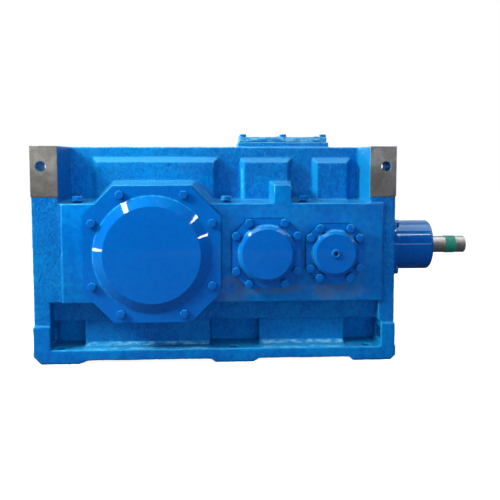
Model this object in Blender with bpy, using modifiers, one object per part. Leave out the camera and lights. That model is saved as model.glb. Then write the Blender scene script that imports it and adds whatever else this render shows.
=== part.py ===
"""Right-angle industrial gear unit: three stages, horizontally split cast housing, foot mounted.

Frame: +X towards the input shaft, +Y to the rear, where the output shaft leaves, +Z up.
The origin is the middle of the centre foot's underside. Units are metres.

Power path: input_shaft (along X) -> bevel_gear on first_shaft -> middle_gear on middle_shaft
-> output_gear on output_shaft. The last three shafts lie along Y at one height, in the plane
where the housing is split.
"""
import math

import bmesh
import bpy
from mathutils import Matrix, Vector

# ------------------------------------------------------------------ driving dimensions
GAP = 0.0003                   # clearance between neighbouring pieces
AXIS_Z = 0.334                 # height of every shaft axis, and of the housing's split plane
OUTPUT_X = -0.243              # output shaft axis
OUTPUT_CENTRES = 0.340         # centre distance of the output stage
MIDDLE_CENTRES = 0.206         # centre distance of the middle stage
MIDDLE_X = OUTPUT_X + OUTPUT_CENTRES
FIRST_X = MIDDLE_X + MIDDLE_CENTRES

HOUSING_X = -0.055             # middle of the housing's length
HALF_LENGTH = 0.545
HALF_WIDTH = 0.200             # end columns and lug faces
PAD_Y = 0.205                  # machined side pads that carry the bearing covers
PAD_X = (-0.512, 0.452)
PAD_Z = (0.185, 0.483)
TOP_Z = 0.655
WALL_Y = 0.100                 # upper side walls
PANEL_Y = 0.128                # raised panels on the upper side walls
UPPER_HALF_LENGTH = 0.467      # end walls above the pads
LOWER_HALF_LENGTH = 0.525      # end walls below the pads
COLUMN_HALF_LENGTH = 0.497     # inner side of the corner columns
LOWER_WALL_Y = 0.150           # side walls of the sump
BAND_Y = 0.160                 # thicker band above the pockets

FOOT_HEIGHT = 0.010            # the feet stand this far below the base flange
FLANGE_Z = 0.042               # top of the base flange
POCKET_TOP_Z = 0.123           # top of the pockets around the foot bolts
POCKET_DEPTH_Y = 0.085         # back wall of those pockets
POCKETS_X = ((-0.552, -0.459), (-0.075, 0.079), (0.345, 0.450))
RECESS_DEPTH = 0.018           # small recesses in the pockets' outer ends
RECESS_Y = (0.125, 0.193)
RECESS_Z = (0.058, 0.096)
FOOT_BLOCK_HALF_LENGTH = 0.548
FOOT_BLOCK_Z = 0.114
FOOT_BOLTS_X = (-0.527, 0.0, 0.412)
FOOT_BOLT_Y = 0.176
FOOT_HOLE_RADIUS = 0.014

LUG_BASE_Z = 0.505             # lower edge of the machined lifting lugs
LUG_HOLE_X = 0.515             # from the middle of the housing
LUG_HOLE_Z = 0.594
LUG_HOLE_RADIUS = 0.0155
LUG_INNER_Y = 0.090            # the lugs reach in to here
LUG_FACE = 0.0015              # the milled faces stand this far proud

# Hollows of the casting.
ROOM_HALF_LENGTH = 0.505
GEAR_SUMP_Y = 0.073            # the trough between the pockets, under the output gear
WIDE_SUMP_Y = 0.130            # between one pocket and the next
SUMP_Z = (0.032, 0.160)
GEAR_ROOM_Y = 0.145
GEAR_ROOM_Z = (0.145, 0.467)
UPPER_ROOM = (0.453, 0.086)    # half length and half width
ROOF = 0.014                   # thickness of the top
POCKET_WALL = 0.012
QUILL_BORE_RADIUS = 0.088
SPLIT_HOLE_RADIUS = 0.0112
PLUG_HOLE_RADIUS = 0.0135
SIGHT_HOLE_RADIUS = 0.0225
DRAIN_Z = 0.066
BREATHER_Z = 0.600

# Bearings: bore radius, outside radius, width.
INPUT_BEARING = (0.0325, 0.070, 0.036)
FIRST_BEARING = (0.0325, 0.070, 0.048)
MIDDLE_BEARING = (0.040, 0.085, 0.058)
OUTPUT_BEARING = (0.080, 0.145, 0.052)
INPUT_BEARINGS_X = (0.443, 0.618)
FIRST_BEARING_Y = 0.174
MIDDLE_BEARING_Y = 0.1735
OUTPUT_BEARING_Y = 0.176

# Gears: tooth counts, and the faces' positions along Y.
OUTPUT_TEETH = 52
MIDDLE_PINION_TEETH = 16
MIDDLE_TEETH = 34
FIRST_PINION_TEETH = 17
BEVEL_TEETH = 30
INPUT_TEETH = 12
OUTPUT_MODULE = 2 * OUTPUT_CENTRES / (OUTPUT_TEETH + MIDDLE_PINION_TEETH)
MIDDLE_MODULE = 2 * MIDDLE_CENTRES / (MIDDLE_TEETH + FIRST_PINION_TEETH)
BEVEL_MODULE = 0.007
OUTPUT_FACE_Y = (-0.060, 0.060)
MIDDLE_FACE_Y = (0.066, 0.110)
PRESSURE_ANGLE = math.radians(20)
ADDENDUM = 0.9                 # in modules
DEDENDUM = 1.2
BACKLASH = 0.14

COARSE = 20                    # facets round the small turned pieces
FINE = 28                      # facets round the output bearings and shaft

# Input quill: the bearing housing that carries the input shaft.
QUILL_RADIUS = 0.081
QUILL_FLANGE_RADIUS = 0.119
QUILL_FLANGE_X = (HOUSING_X + HALF_LENGTH, 0.523)
QUILL_END_X = 0.652
INPUT_END_X = 0.777
INPUT_END_RADIUS = 0.0275
OUTPUT_END_Y = 0.490
OUTPUT_END_RADIUS = 0.075

INSPECTION_X = (0.014, 0.300)
INSPECTION_Y = 0.090
INSPECTION_PAD_Z = 0.671

SIGHT_GLASS_X = -0.479         # on the rear pad, at the oil level
SIGHT_GLASS_Z = 0.213

SPLIT_BOLTS_X = (-0.472, -0.024, 0.211)
SPLIT_BOLT_Y = 0.170

ALONG_X = Matrix.Rotation(math.radians(90), 4, "Y")       # local +Z turns to +X
ALONG_Y = Matrix.Rotation(math.radians(-90), 4, "X")      # local +Z turns to +Y
ALONG_MINUS_Y = Matrix.Rotation(math.radians(90), 4, "X")
ALONG_MINUS_X = Matrix.Rotation(math.radians(-90), 4, "Y")
UPRIGHT = Matrix.Identity(4)

# ------------------------------------------------------------------ a clean scene
for old in list(bpy.data.objects):
    bpy.data.objects.remove(old, do_unlink=True)
PARTS = bpy.data.collections.new("gear_unit")
CUTTERS = bpy.data.collections.new("cutters")
bpy.context.scene.collection.children.link(PARTS)
bpy.context.scene.collection.children.link(CUTTERS)


# ------------------------------------------------------------------ materials
FINISHES = {
    "blue_paint": ((0.004, 0.125, 0.480), 0.30, 0.0),
    "machined_steel": ((0.42, 0.40, 0.37), 0.32, 1.0),
    "bearing_steel": ((0.55, 0.55, 0.56), 0.18, 1.0),
    "gear_steel": ((0.36, 0.36, 0.37), 0.30, 1.0),
    "seal_rubber": ((0.02, 0.02, 0.02), 0.60, 0.0),
    "sight_glass": ((0.75, 0.85, 0.80), 0.05, 0.0),
    "green_tape": ((0.01, 0.30, 0.13), 0.35, 0.0),
}


def finish(piece, slot):
    """Give a piece its own material of the named finish, and put it among the parts."""
    colour, roughness, metallic = FINISHES[slot]
    material = bpy.data.materials.new(piece.name + "_" + slot)
    material.use_nodes = True
    shader = material.node_tree.nodes["Principled BSDF"]
    shader.inputs["Base Color"].default_value = (*colour, 1.0)
    shader.inputs["Roughness"].default_value = roughness
    shader.inputs["Metallic"].default_value = metallic
    piece.data.materials.clear()
    piece.data.materials.append(material)
    CUTTERS.objects.unlink(piece)
    PARTS.objects.link(piece)
    piece.hide_render = False
    piece.display_type = "TEXTURED"
    return piece


# ------------------------------------------------------------------ modelling helpers
def place(name, mesh, origin=(0, 0, 0), turn=UPRIGHT):
    """A new object in the cutters' collection; finish() moves the real pieces out of it."""
    piece = bpy.data.objects.new(name, mesh)
    piece.matrix_world = Matrix.Translation(origin) @ turn
    piece.hide_render = True
    piece.display_type = "WIRE"
    CUTTERS.objects.link(piece)
    return piece


def to_mesh(name, bm):
    mesh = bpy.data.meshes.new(name)
    bmesh.ops.recalc_face_normals(bm, faces=bm.faces)
    bm.to_mesh(mesh)
    bm.free()
    mesh.shade_smooth()
    mesh.set_sharp_from_angle(angle=math.radians(30))
    return mesh


def box(name, x, y, z, origin=(0, 0, 0)):
    """An upright box between pairs of world coordinates, with its origin where it is asked for."""
    low = Vector((min(x), min(y), min(z)))
    high = Vector((max(x), max(y), max(z)))
    middle = (low + high) / 2 - Vector(origin)
    bm = bmesh.new()
    bmesh.ops.create_cube(bm, size=1, matrix=Matrix.Translation(middle) @ Matrix.Diagonal((*(high - low), 1)))
    return place(name, to_mesh(name, bm), origin)


def rod(name, radius, low, high, facets, origin=(0, 0, 0), turn=UPRIGHT, tip_radius=None):
    """A cylinder or cone between two heights of its own axis."""
    bm = bmesh.new()
    bmesh.ops.create_cone(
        bm, cap_ends=True, segments=facets, radius1=radius,
        radius2=radius if tip_radius is None else tip_radius, depth=high - low,
        matrix=Matrix.Translation((0, 0, (low + high) / 2)),
    )
    return place(name, to_mesh(name, bm), origin, turn)


def turned(name, profile, facets, origin=(0, 0, 0), turn=UPRIGHT, closed=False):
    """A profile of (radius, height) points, top to bottom down its outer side, screwed round Z."""
    bm = bmesh.new()
    points = [bm.verts.new((radius, 0, height)) for radius, height in profile]
    for first, second in zip(points, points[1:]):
        bm.edges.new((first, second))
    if closed:
        bm.edges.new((points[-1], points[0]))
    mesh = bpy.data.meshes.new(name)
    bm.to_mesh(mesh)
    bm.free()
    piece = place(name, mesh, origin, turn)
    screw = piece.modifiers.new("turn", "SCREW")
    screw.axis = "Z"
    screw.steps = facets
    screw.render_steps = facets
    screw.use_merge_vertices = True
    screw.merge_threshold = 0.00001
    return piece


def ring(name, inner, outer, low, high, facets, origin=(0, 0, 0), turn=UPRIGHT):
    profile = [(inner, high), (outer, high), (outer, low), (inner, low)]
    return turned(name, profile, facets, origin, turn, closed=True)


def stepped(steps, chamfer=0.0):
    """Profile of a solid shaft from (height, radius) steps; each radius holds up to its height."""
    start = steps[0][0]
    profile = [(0, start)]
    low = start
    for high, radius in steps[1:]:
        profile += [(radius, low), (radius, high)]
        low = high
    if chamfer:
        radius, end = profile[-1]
        profile[-1] = (radius, end - chamfer)
        profile.append((radius - chamfer, end))
    profile.append((0, low))
    return profile[::-1]


def plate_mesh(name, outlines, low, high):
    """The mesh of a flat plate: filled 2D outlines (inner ones are holes) between two heights."""
    curve = bpy.data.curves.new(name, "CURVE")
    curve.dimensions = "2D"
    curve.fill_mode = "BOTH"
    curve.extrude = (high - low) / 2
    for outline in outlines:
        spline = curve.splines.new("POLY")
        spline.points.add(len(outline) - 1)
        spline.use_cyclic_u = True
        for point, (x, y) in zip(spline.points, outline):
            point.co = (x, y, 0, 1)
    holder = bpy.data.objects.new(name, curve)
    CUTTERS.objects.link(holder)
    graph = bpy.context.evaluated_depsgraph_get()
    mesh = bpy.data.meshes.new_from_object(holder.evaluated_get(graph), depsgraph=graph)
    bpy.data.objects.remove(holder, do_unlink=True)
    bm = bmesh.new()
    bm.from_mesh(mesh)
    bmesh.ops.remove_doubles(bm, verts=bm.verts, dist=0.000001)
    bmesh.ops.translate(bm, verts=bm.verts, vec=(0, 0, (low + high) / 2))
    return to_mesh(name, bm)


def plate(name, outlines, low, high, origin=(0, 0, 0), turn=UPRIGHT):
    return place(name, plate_mesh(name, outlines, low, high), origin, turn)


def tapered(name, outline, low, high, grow, origin=(0, 0, 0), turn=UPRIGHT):
    """A plate whose lower face is larger: its points move out by grow, seen from its middle."""
    mesh = plate_mesh(name, [outline], low, high)
    middle_x = (min(x for x, y in outline) + max(x for x, y in outline)) / 2
    middle_y = (min(y for x, y in outline) + max(y for x, y in outline)) / 2
    half_x = max(x for x, y in outline) - middle_x
    half_y = max(y for x, y in outline) - middle_y
    for vertex in mesh.vertices:
        if vertex.co.z < (low + high) / 2:
            vertex.co.x = middle_x + (vertex.co.x - middle_x) * (half_x + grow) / half_x
            vertex.co.y = middle_y + (vertex.co.y - middle_y) * (half_y + grow) / half_y
    return place(name, mesh, origin, turn)


def copies(name, source, places, turn=UPRIGHT, origin=(0, 0, 0)):
    """One object holding a copy of the source's finished mesh at each (x, y) place."""
    graph = bpy.context.evaluated_depsgraph_get()
    shape = bpy.data.meshes.new_from_object(source.evaluated_get(graph), depsgraph=graph)
    bm = bmesh.new()
    for x, y in places:
        before = len(bm.verts)
        bm.from_mesh(shape)
        bm.verts.ensure_lookup_table()
        bmesh.ops.translate(bm, verts=bm.verts[before:], vec=(x, y, 0))
    bpy.data.objects.remove(source, do_unlink=True)
    return place(name, to_mesh(name, bm), origin, turn)


def combine(piece, operation, *others):
    """Union, difference or intersection of a piece with others, as live modifiers."""
    for other in others:
        modifier = piece.modifiers.new(other.name, "BOOLEAN")
        modifier.operation = operation
        modifier.solver = "EXACT"
        modifier.object = other
    return piece


def add(piece, *others):
    return combine(piece, "UNION", *others)


def cut(piece, *others):
    return combine(piece, "DIFFERENCE", *others)


def rectangle(x, y):
    return [(x[0], y[0]), (x[1], y[0]), (x[1], y[1]), (x[0], y[1])]


def circle(radius, facets):
    return [
        (radius * math.cos(2 * math.pi * step / facets), radius * math.sin(2 * math.pi * step / facets))
        for step in range(facets)
    ]


def cut_square(half, corner):
    """A square outline whose four corners are cut off at 45 degrees: the covers' octagon."""
    flat = half - corner
    return [
        (half, -flat), (half, flat), (flat, half), (-flat, half),
        (-half, flat), (-half, -flat), (-flat, -half), (flat, -half),
    ]


def bolt(name, head_radius, head_height, shank_radius, shank_length):
    """A hexagon bolt whose head stands on the plane z = 0."""
    profile = [
        (0, head_height), (head_radius, head_height), (head_radius, 0),
        (shank_radius, 0), (shank_radius, -shank_length), (0, -shank_length),
    ]
    return turned(name, profile, 6)


# ------------------------------------------------------------------ gear teeth
def involute(angle):
    return math.tan(angle) - angle


def half_tooth(radius, pitch_radius, teeth):
    """Half the angle that a tooth spans at a radius, for an involute flank."""
    base = pitch_radius * math.cos(PRESSURE_ANGLE)
    at_pitch = (math.pi / 2 - BACKLASH) / teeth
    at_radius = math.acos(base / max(radius, base))
    return at_pitch + involute(PRESSURE_ANGLE) - involute(at_radius)


def flank_heights(detailed):
    """Heights from the pitch line, in modules, of the points along one flank."""
    return (-DEDENDUM, -0.1, ADDENDUM) if detailed else (-DEDENDUM, ADDENDUM)


def gear_outline(teeth, module, detailed, phase=0.0):
    pitch_radius = teeth * module / 2
    radii = [pitch_radius + height * module for height in flank_heights(detailed)]
    outline = []
    for tooth in range(teeth):
        middle = phase + 2 * math.pi * tooth / teeth
        rising = [(radius, middle - half_tooth(radius, pitch_radius, teeth)) for radius in radii]
        falling = [(radius, middle + half_tooth(radius, pitch_radius, teeth)) for radius in reversed(radii)]
        outline += [(radius * math.cos(angle), radius * math.sin(angle)) for radius, angle in rising + falling]
    return outline


def bevel_teeth(name, teeth, mate_teeth, detailed, phase, origin, turn):
    """A straight bevel gear blank with teeth. Its pitch apex is the object's origin, on +Z."""
    pitch_angle = math.atan2(teeth, mate_teeth)
    pitch_radius = teeth * BEVEL_MODULE / 2
    pitch_height = mate_teeth * BEVEL_MODULE / 2
    cone = math.hypot(pitch_radius, pitch_height)
    inner_scale = 1 - 0.30
    virtual_teeth = teeth / math.cos(pitch_angle)
    virtual_radius = cone * math.tan(pitch_angle)
    loop = []
    for tooth in range(teeth):
        middle = phase + 2 * math.pi * tooth / teeth
        for sign, heights in ((-1, flank_heights(detailed)), (1, reversed(flank_heights(detailed)))):
            for height in heights:
                rise = height * BEVEL_MODULE * (0.9 if height > 0 else 1.0)
                half = half_tooth(virtual_radius + rise, virtual_radius, virtual_teeth)
                angle = middle + sign * half / math.cos(pitch_angle)
                radius = pitch_radius + rise * math.cos(pitch_angle)
                axial = pitch_height - rise * math.sin(pitch_angle)
                loop.append(Vector((radius * math.cos(angle), radius * math.sin(angle), axial)))
    per_tooth = 2 * len(flank_heights(detailed))
    bm = bmesh.new()
    ends = [[bm.verts.new(point * scale) for point in loop] for scale in (1, inner_scale)]
    for step, start in enumerate(ends[0]):
        following = (step + 1) % len(loop)
        bm.faces.new((start, ends[0][following], ends[1][following], ends[1][step]))
    for end in ends:
        teeth_ends = [end[start:start + per_tooth] for start in range(0, len(end), per_tooth)]
        for tooth_end in teeth_ends:
            bm.faces.new(tooth_end)
        bm.faces.new([corner for tooth_end in teeth_ends for corner in (tooth_end[0], tooth_end[-1])])
    return place(name, to_mesh(name, bm), origin, turn)


# ------------------------------------------------------------------ housing
def octagon_boss(side):
    """The drafted boss behind the large cover."""
    turn = ALONG_MINUS_Y if side < 0 else ALONG_Y
    return tapered(f"output_boss_{side}", cut_square(0.205, 0.088), WALL_Y - 0.005, PAD_Y, 0.015,
                   (OUTPUT_X, 0, AXIS_Z), turn)


def wall_panel(name, side, x, top, low_y, high_y, draft):
    """A raised panel on the upper side wall; x and top are those of its outer face."""
    turn = ALONG_MINUS_Y if side < 0 else ALONG_Y
    bottom = PAD_Z[1] - 0.060
    heights = (bottom - AXIS_Z, top - AXIS_Z) if side < 0 else (AXIS_Z - top, AXIS_Z - bottom)
    return tapered(f"{name}_{side}", rectangle(x, heights), low_y, high_y, draft, (0, 0, AXIS_Z), turn)


def lifting_lug(end, side):
    """A corner lug: a thick block behind a milled face, slanting in to the upper wall."""
    def corner(x, y):
        return (HOUSING_X + end * x, side * y)

    inner = UPPER_HALF_LENGTH
    web = [corner(x, y) for x, y in (
        (HALF_LENGTH, HALF_WIDTH), (inner, HALF_WIDTH), (inner - 0.018, WALL_Y),
        (inner - 0.018, LUG_INNER_Y), (HALF_LENGTH, LUG_INNER_Y),
    )]
    face = [corner(x, y) for x, y in (
        (HALF_LENGTH + LUG_FACE, HALF_WIDTH + LUG_FACE), (inner - 0.0005, HALF_WIDTH + LUG_FACE),
        (inner - 0.0005, HALF_WIDTH - 0.010), (HALF_LENGTH + LUG_FACE, HALF_WIDTH - 0.010),
    )]
    if end * side < 0:
        web.reverse()
        face.reverse()
    return (
        plate(f"lug_web_{end}_{side}", [web], PAD_Z[1] - 0.010, TOP_Z),
        plate(f"lug_face_{end}_{side}", [face], LUG_BASE_Z, TOP_Z - 0.0002),
    )


def base_flange():
    """The base flange with its three feet, as one outline seen from the side."""
    low_x = HOUSING_X - HALF_LENGTH - 0.004
    high_x = HOUSING_X + HALF_LENGTH + 0.006
    outline = [
        (low_x, FLANGE_Z), (low_x, 0.022), (low_x + 0.022, 0), (-0.468, 0), (-0.440, FOOT_HEIGHT),
        (-0.070, FOOT_HEIGHT), (-0.0585, 0), (0.0585, 0), (0.074, FOOT_HEIGHT),
        (0.354, FOOT_HEIGHT), (0.363, 0), (high_x - 0.015, 0), (high_x, 0.015), (high_x, FLANGE_Z),
    ]
    return plate("base_flange", [outline], -PAD_Y, PAD_Y, (0, 0, 0), ALONG_MINUS_Y)


def flange_fillet(side):
    """The sloping run from the base flange up to the lower side wall."""
    profile = [(0.140, 0.030), (0.200, 0.030), (0.200, FLANGE_Z), (0.160, FLANGE_Z + 0.003),
               (0.150, FLANGE_Z + 0.013), (0.140, FLANGE_Z + 0.013)]
    outline = [(-z, side * y) for y, z in profile]
    if side > 0:
        outline.reverse()
    return plate(f"flange_fillet_{side}", [outline], HOUSING_X - 0.500, HOUSING_X + 0.500, (0, 0, 0), ALONG_X)


def castings_outside():
    """The housing's outer shape as one body, still solid."""
    low_x = HOUSING_X - HALF_LENGTH
    high_x = HOUSING_X + HALF_LENGTH

    def lengthwise(half):
        return HOUSING_X - half, HOUSING_X + half

    body = box("casting", lengthwise(LOWER_HALF_LENGTH), (-LOWER_WALL_Y, LOWER_WALL_Y), (0.030, 0.300))
    pad_top = -PAD_Z[1]
    shoulder = [
        (-0.400, -HALF_WIDTH), (pad_top, -HALF_WIDTH), (pad_top - 0.009, -0.125),
        (pad_top - 0.009, 0.125), (pad_top, HALF_WIDTH), (-0.400, HALF_WIDTH),
    ]
    add(
        body,
        base_flange(),
        box("lower_band", lengthwise(COLUMN_HALF_LENGTH + 0.002), (-BAND_Y, BAND_Y), (POCKET_TOP_Z, 0.250)),
        box("bearing_band", (low_x, high_x), (-HALF_WIDTH, HALF_WIDTH), (PAD_Z[0] + 0.001, 0.450)),
        plate("shoulder", [shoulder], low_x, high_x, (0, 0, 0), ALONG_X),
        box("bearing_pads", PAD_X, (-PAD_Y, PAD_Y), PAD_Z),
        box("upper_box", lengthwise(UPPER_HALF_LENGTH), (-WALL_Y, WALL_Y), (0.440, TOP_Z)),
        box("inspection_pad", INSPECTION_X, (-INSPECTION_Y, INSPECTION_Y), (TOP_Z - 0.010, INSPECTION_PAD_Z)),
    )
    for side in (-1, 1):
        add(
            body,
            flange_fillet(side),
            octagon_boss(side),
            wall_panel("left_panel", side, (-0.420, -0.062), 0.608, WALL_Y - 0.005, PANEL_Y, 0.018),
            wall_panel("middle_panel", side, (0.034, 0.167), 0.607, WALL_Y - 0.006, PANEL_Y, 0.017),
            wall_panel("right_panel", side, (0.261, 0.354), 0.606, WALL_Y - 0.007, PANEL_Y, 0.019),
            wall_panel("side_block", side, (0.120, 0.171), 0.539, WALL_Y - 0.008, PAD_Y, 0.012),
        )
        for end in (-1, 1):
            column_x = sorted((HOUSING_X + end * COLUMN_HALF_LENGTH, HOUSING_X + end * HALF_LENGTH))
            block_x = sorted((HOUSING_X + end * (COLUMN_HALF_LENGTH + 0.0005),
                              HOUSING_X + end * FOOT_BLOCK_HALF_LENGTH))
            add(
                body,
                box(f"column_{end}_{side}", column_x, (side * 0.075, side * HALF_WIDTH), (0.035, 0.250)),
                box(f"foot_block_{end}_{side}", block_x, (side * 0.146, side * PAD_Y), (0.036, FOOT_BLOCK_Z)),
                *lifting_lug(end, side),
            )
    return body


def hollow(body):
    """Cut the rooms inside the housing and its shaft bores."""
    def room(name, x, half_width, z):
        return box(name, x, (-half_width, half_width), z)

    full_length = (HOUSING_X - ROOM_HALF_LENGTH, HOUSING_X + ROOM_HALF_LENGTH)
    cut(
        body,
        room("gear_sump", full_length, GEAR_SUMP_Y, SUMP_Z),
        room("gear_room", full_length, GEAR_ROOM_Y, GEAR_ROOM_Z),
        room("upper_room", (HOUSING_X - UPPER_ROOM[0], HOUSING_X + UPPER_ROOM[0]), UPPER_ROOM[1],
             (0.450, TOP_Z - ROOF)),
        room("panel_room", (0.030, 0.166), PANEL_Y - ROOF, (0.451, 0.590)),
        room("inspection_hole", (0.045, 0.269), 0.062, (TOP_Z - 0.030, TOP_Z + 0.030)),
        rod("output_bore", OUTPUT_BEARING[1], -0.220, 0.220, FINE, (OUTPUT_X, 0, AXIS_Z), ALONG_Y),
        rod("middle_bore", MIDDLE_BEARING[1], -0.220, 0.220, COARSE, (MIDDLE_X, 0, AXIS_Z), ALONG_Y),
        rod("first_bore", FIRST_BEARING[1], -0.220, 0.220, COARSE, (FIRST_X, 0, AXIS_Z), ALONG_Y),
        rod("quill_bore", QUILL_BORE_RADIUS, 0.440, 0.520, COARSE, (0, 0, AXIS_Z), ALONG_X),
    )
    for number, (before, after) in enumerate(zip(POCKETS_X, POCKETS_X[1:])):
        cut(body, room(f"wide_sump_{number}", (before[1] + POCKET_WALL, after[0] - POCKET_WALL),
                       WIDE_SUMP_Y, (SUMP_Z[0] + 0.001, SUMP_Z[1] - 0.001)))


def casting():
    """The whole housing as one casting, before it is sawn at the split plane."""
    body = castings_outside()
    hollow(body)
    for side in (-1, 1):
        for number, x in enumerate(POCKETS_X):
            cut(body, box(f"pocket_{number}_{side}", x, (side * POCKET_DEPTH_Y, side * 0.230),
                          (FLANGE_Z, POCKET_TOP_Z)))
        outer_ends = ((POCKETS_X[0][0] - RECESS_DEPTH, POCKETS_X[0][0] + 0.010),
                      (POCKETS_X[2][1] - 0.010, POCKETS_X[2][1] + RECESS_DEPTH))
        for number, x in enumerate(outer_ends):
            cut(body, box(f"recess_{number}_{side}", x, [side * y for y in RECESS_Y], RECESS_Z))
        for number, x in enumerate(FOOT_BOLTS_X):
            cut(body, rod(f"foot_hole_{number}_{side}", FOOT_HOLE_RADIUS, -0.010, 0.060, 12,
                          (x, side * FOOT_BOLT_Y, 0)))
        for number, x in enumerate(SPLIT_BOLTS_X):
            cut(body, rod(f"split_hole_{number}_{side}", SPLIT_HOLE_RADIUS, 0.240, 0.520, 8,
                          (x, side * SPLIT_BOLT_Y, 0)))
        for end in (-1, 1):
            low, high = sorted((side * (LUG_INNER_Y - 0.010), side * (HALF_WIDTH + 0.020)))
            cut(body, rod(f"lug_hole_{end}_{side}", LUG_HOLE_RADIUS, low, high,
                          16, (HOUSING_X + end * LUG_HOLE_X, 0, LUG_HOLE_Z), ALONG_Y))
    cut(
        body,
        rod("drain_hole", PLUG_HOLE_RADIUS, -0.650, -0.540, 12, (0, 0, DRAIN_Z), ALONG_X),
        rod("breather_hole", PLUG_HOLE_RADIUS, -0.560, -0.490, 12, (0, 0, BREATHER_Z), ALONG_X),
        rod("sight_hole", SIGHT_HOLE_RADIUS, 0.090, 0.230, 16, (SIGHT_GLASS_X, 0, SIGHT_GLASS_Z), ALONG_Y),
    )
    return body


def split_casting():
    """Saw the casting in two at the shaft axes."""
    whole = casting()
    graph = bpy.context.evaluated_depsgraph_get()
    shape = bpy.data.meshes.new_from_object(whole.evaluated_get(graph), depsgraph=graph)
    bpy.data.objects.remove(whole, do_unlink=True)
    lower = place("housing_lower", shape)
    upper = place("housing_upper", shape.copy())
    cut(lower, box("above_split", (-1, 1), (-1, 1), (AXIS_Z - GAP / 2, 1)))
    cut(upper, box("below_split", (-1, 1), (-1, 1), (-1, AXIS_Z + GAP / 2)))
    finish(lower, "blue_paint")
    finish(upper, "blue_paint")


def split_bolts():
    """Long bolts that clamp the upper housing to the lower one, beside the bearing bores."""
    for side, side_name in ((-1, "front"), (1, "rear")):
        for number, x in enumerate(SPLIT_BOLTS_X, start=1):
            piece = bolt(f"split_bolt_{side_name}_{number}", 0.0173, 0.013, 0.0095, 0.245)
            piece.matrix_world = Matrix.Translation((x, side * SPLIT_BOLT_Y, 0.4925))
            finish(piece, "blue_paint")


# ------------------------------------------------------------------ bearing covers
GASKET = (0.0003, 0.0013)      # height of the gasket above the pad
COVER_BASE = 0.0016            # underside of every cover above the pad


def cover_bolt_places(radius, spread):
    angles = [math.radians(45 + 90 * corner + sign * spread) for corner in range(4) for sign in (-1, 1)]
    return [(radius * math.cos(angle), radius * math.sin(angle)) for angle in angles]


def bearing_cover(name, x, side, half, corner, plate_top, cap, spigot, bolt_radius, spread, facets, bore=None):
    """An octagonal cover with a raised cap, and the eight bolts that hold it with their gasket.

    cap is (radius at the plate, radius at the face, height of the face); heights are above the pad.
    """
    turn = ALONG_MINUS_Y if side < 0 else ALONG_Y
    origin = (x, side * PAD_Y, AXIS_Z)
    places = cover_bolt_places(bolt_radius, spread)
    core = turned(name + "_core", [
        (0, cap[2]), (cap[1], cap[2]), (cap[0], plate_top), (cap[0], plate_top - 0.006),
        (spigot, plate_top - 0.006), (spigot, -0.0022), (0, -0.0022),
    ], facets, origin, turn)
    cover = plate(name, [cut_square(half, corner)], COVER_BASE, plate_top, origin, turn)
    holes = copies(name + "_holes", rod("hole", 0.0098, -0.010, 0.050, 6), places, turn, origin)
    add(cover, core)
    cut(cover, holes)
    if bore:
        cut(cover, rod(name + "_bore", bore, -0.020, 0.080, facets, origin, turn))
    finish(cover, "blue_paint")

    gasket = plate(name + "_bolts", [cut_square(half - 0.004, corner), circle(spigot + 0.006, COARSE)],
                   *GASKET, origin, turn)
    shank = plate_top + GAP - (GASKET[0] + GASKET[1]) / 2
    bolts = copies(name + "_set", bolt("bolt", 0.0138, 0.010, 0.0082, shank), places)
    bolts.matrix_world = Matrix.Translation(origin) @ turn @ Matrix.Translation((0, 0, plate_top + GAP))
    add(gasket, bolts)
    finish(gasket, "blue_paint")


def bearing_covers():
    for side, side_name in ((-1, "front"), (1, "rear")):
        shaft_hole = None if side < 0 else 0.0973
        bearing_cover(f"output_cover_{side_name}", OUTPUT_X, side, 0.202, 0.0875, 0.028,
                      (0.176, 0.144, 0.045), 0.1430, 0.1997, 17.2, 40, shaft_hole)
        bearing_cover(f"middle_cover_{side_name}", MIDDLE_X, side, 0.1037, 0.048, 0.018,
                      (0.086, 0.0745, 0.040), 0.0832, 0.106, 14.8, 28)
        bearing_cover(f"first_cover_{side_name}", FIRST_X, side, 0.0875, 0.0415, 0.016,
                      (0.070, 0.059, 0.035), 0.0685, 0.0875, 13.2, 24)
    plug = ring("first_cover_plug", 0.006, 0.0145, 0.0353, 0.0405, 12, (FIRST_X, -PAD_Y, AXIS_Z), ALONG_MINUS_Y)
    finish(plug, "blue_paint")
    seal = ring("output_seal", 0.0792, 0.0955, 0.028, 0.043, FINE, (OUTPUT_X, PAD_Y, AXIS_Z), ALONG_Y)
    finish(seal, "seal_rubber")


# ------------------------------------------------------------------ input quill
def input_quill():
    """The flanged neck that carries the input shaft's two bearings."""
    low_x, flange_x = QUILL_FLANGE_X[0] + GAP, QUILL_FLANGE_X[1]
    profile = [
        (INPUT_BEARING[1], 0.420), (INPUT_BEARING[1], 0.638), (0.0455, 0.638), (0.0455, QUILL_END_X),
        (0.070, QUILL_END_X), (0.077, 0.650), (0.0802, 0.646), (QUILL_RADIUS, 0.640),
        (QUILL_RADIUS, flange_x), (QUILL_FLANGE_RADIUS, flange_x), (QUILL_FLANGE_RADIUS, low_x),
        (0.0865, low_x), (0.0865, 0.420),
    ]
    quill = turned("input_quill", profile, 2 * COARSE, (0, 0, AXIS_Z), ALONG_X, closed=True)
    places = [(0.105 * math.cos(angle), 0.105 * math.sin(angle))
              for angle in (math.radians(45 + 90 * corner) for corner in range(4))]
    holes = copies("quill_holes", rod("hole", 0.0098, 0.480, 0.540, 6), places, ALONG_X, (0, 0, AXIS_Z))
    cut(quill, holes)
    finish(quill, "blue_paint")
    for number, (x, y) in enumerate(places, start=1):
        piece = bolt(f"quill_bolt_{number}", 0.0138, 0.010, 0.0082, 0.030)
        piece.matrix_world = (Matrix.Translation((0, 0, AXIS_Z)) @ ALONG_X
                              @ Matrix.Translation((x, y, flange_x + GAP)))
        finish(piece, "blue_paint")
    seal = ring("input_seal", 0.0312, 0.0445, 0.640, 0.650, COARSE, (0, 0, AXIS_Z), ALONG_X)
    finish(seal, "seal_rubber")


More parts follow.
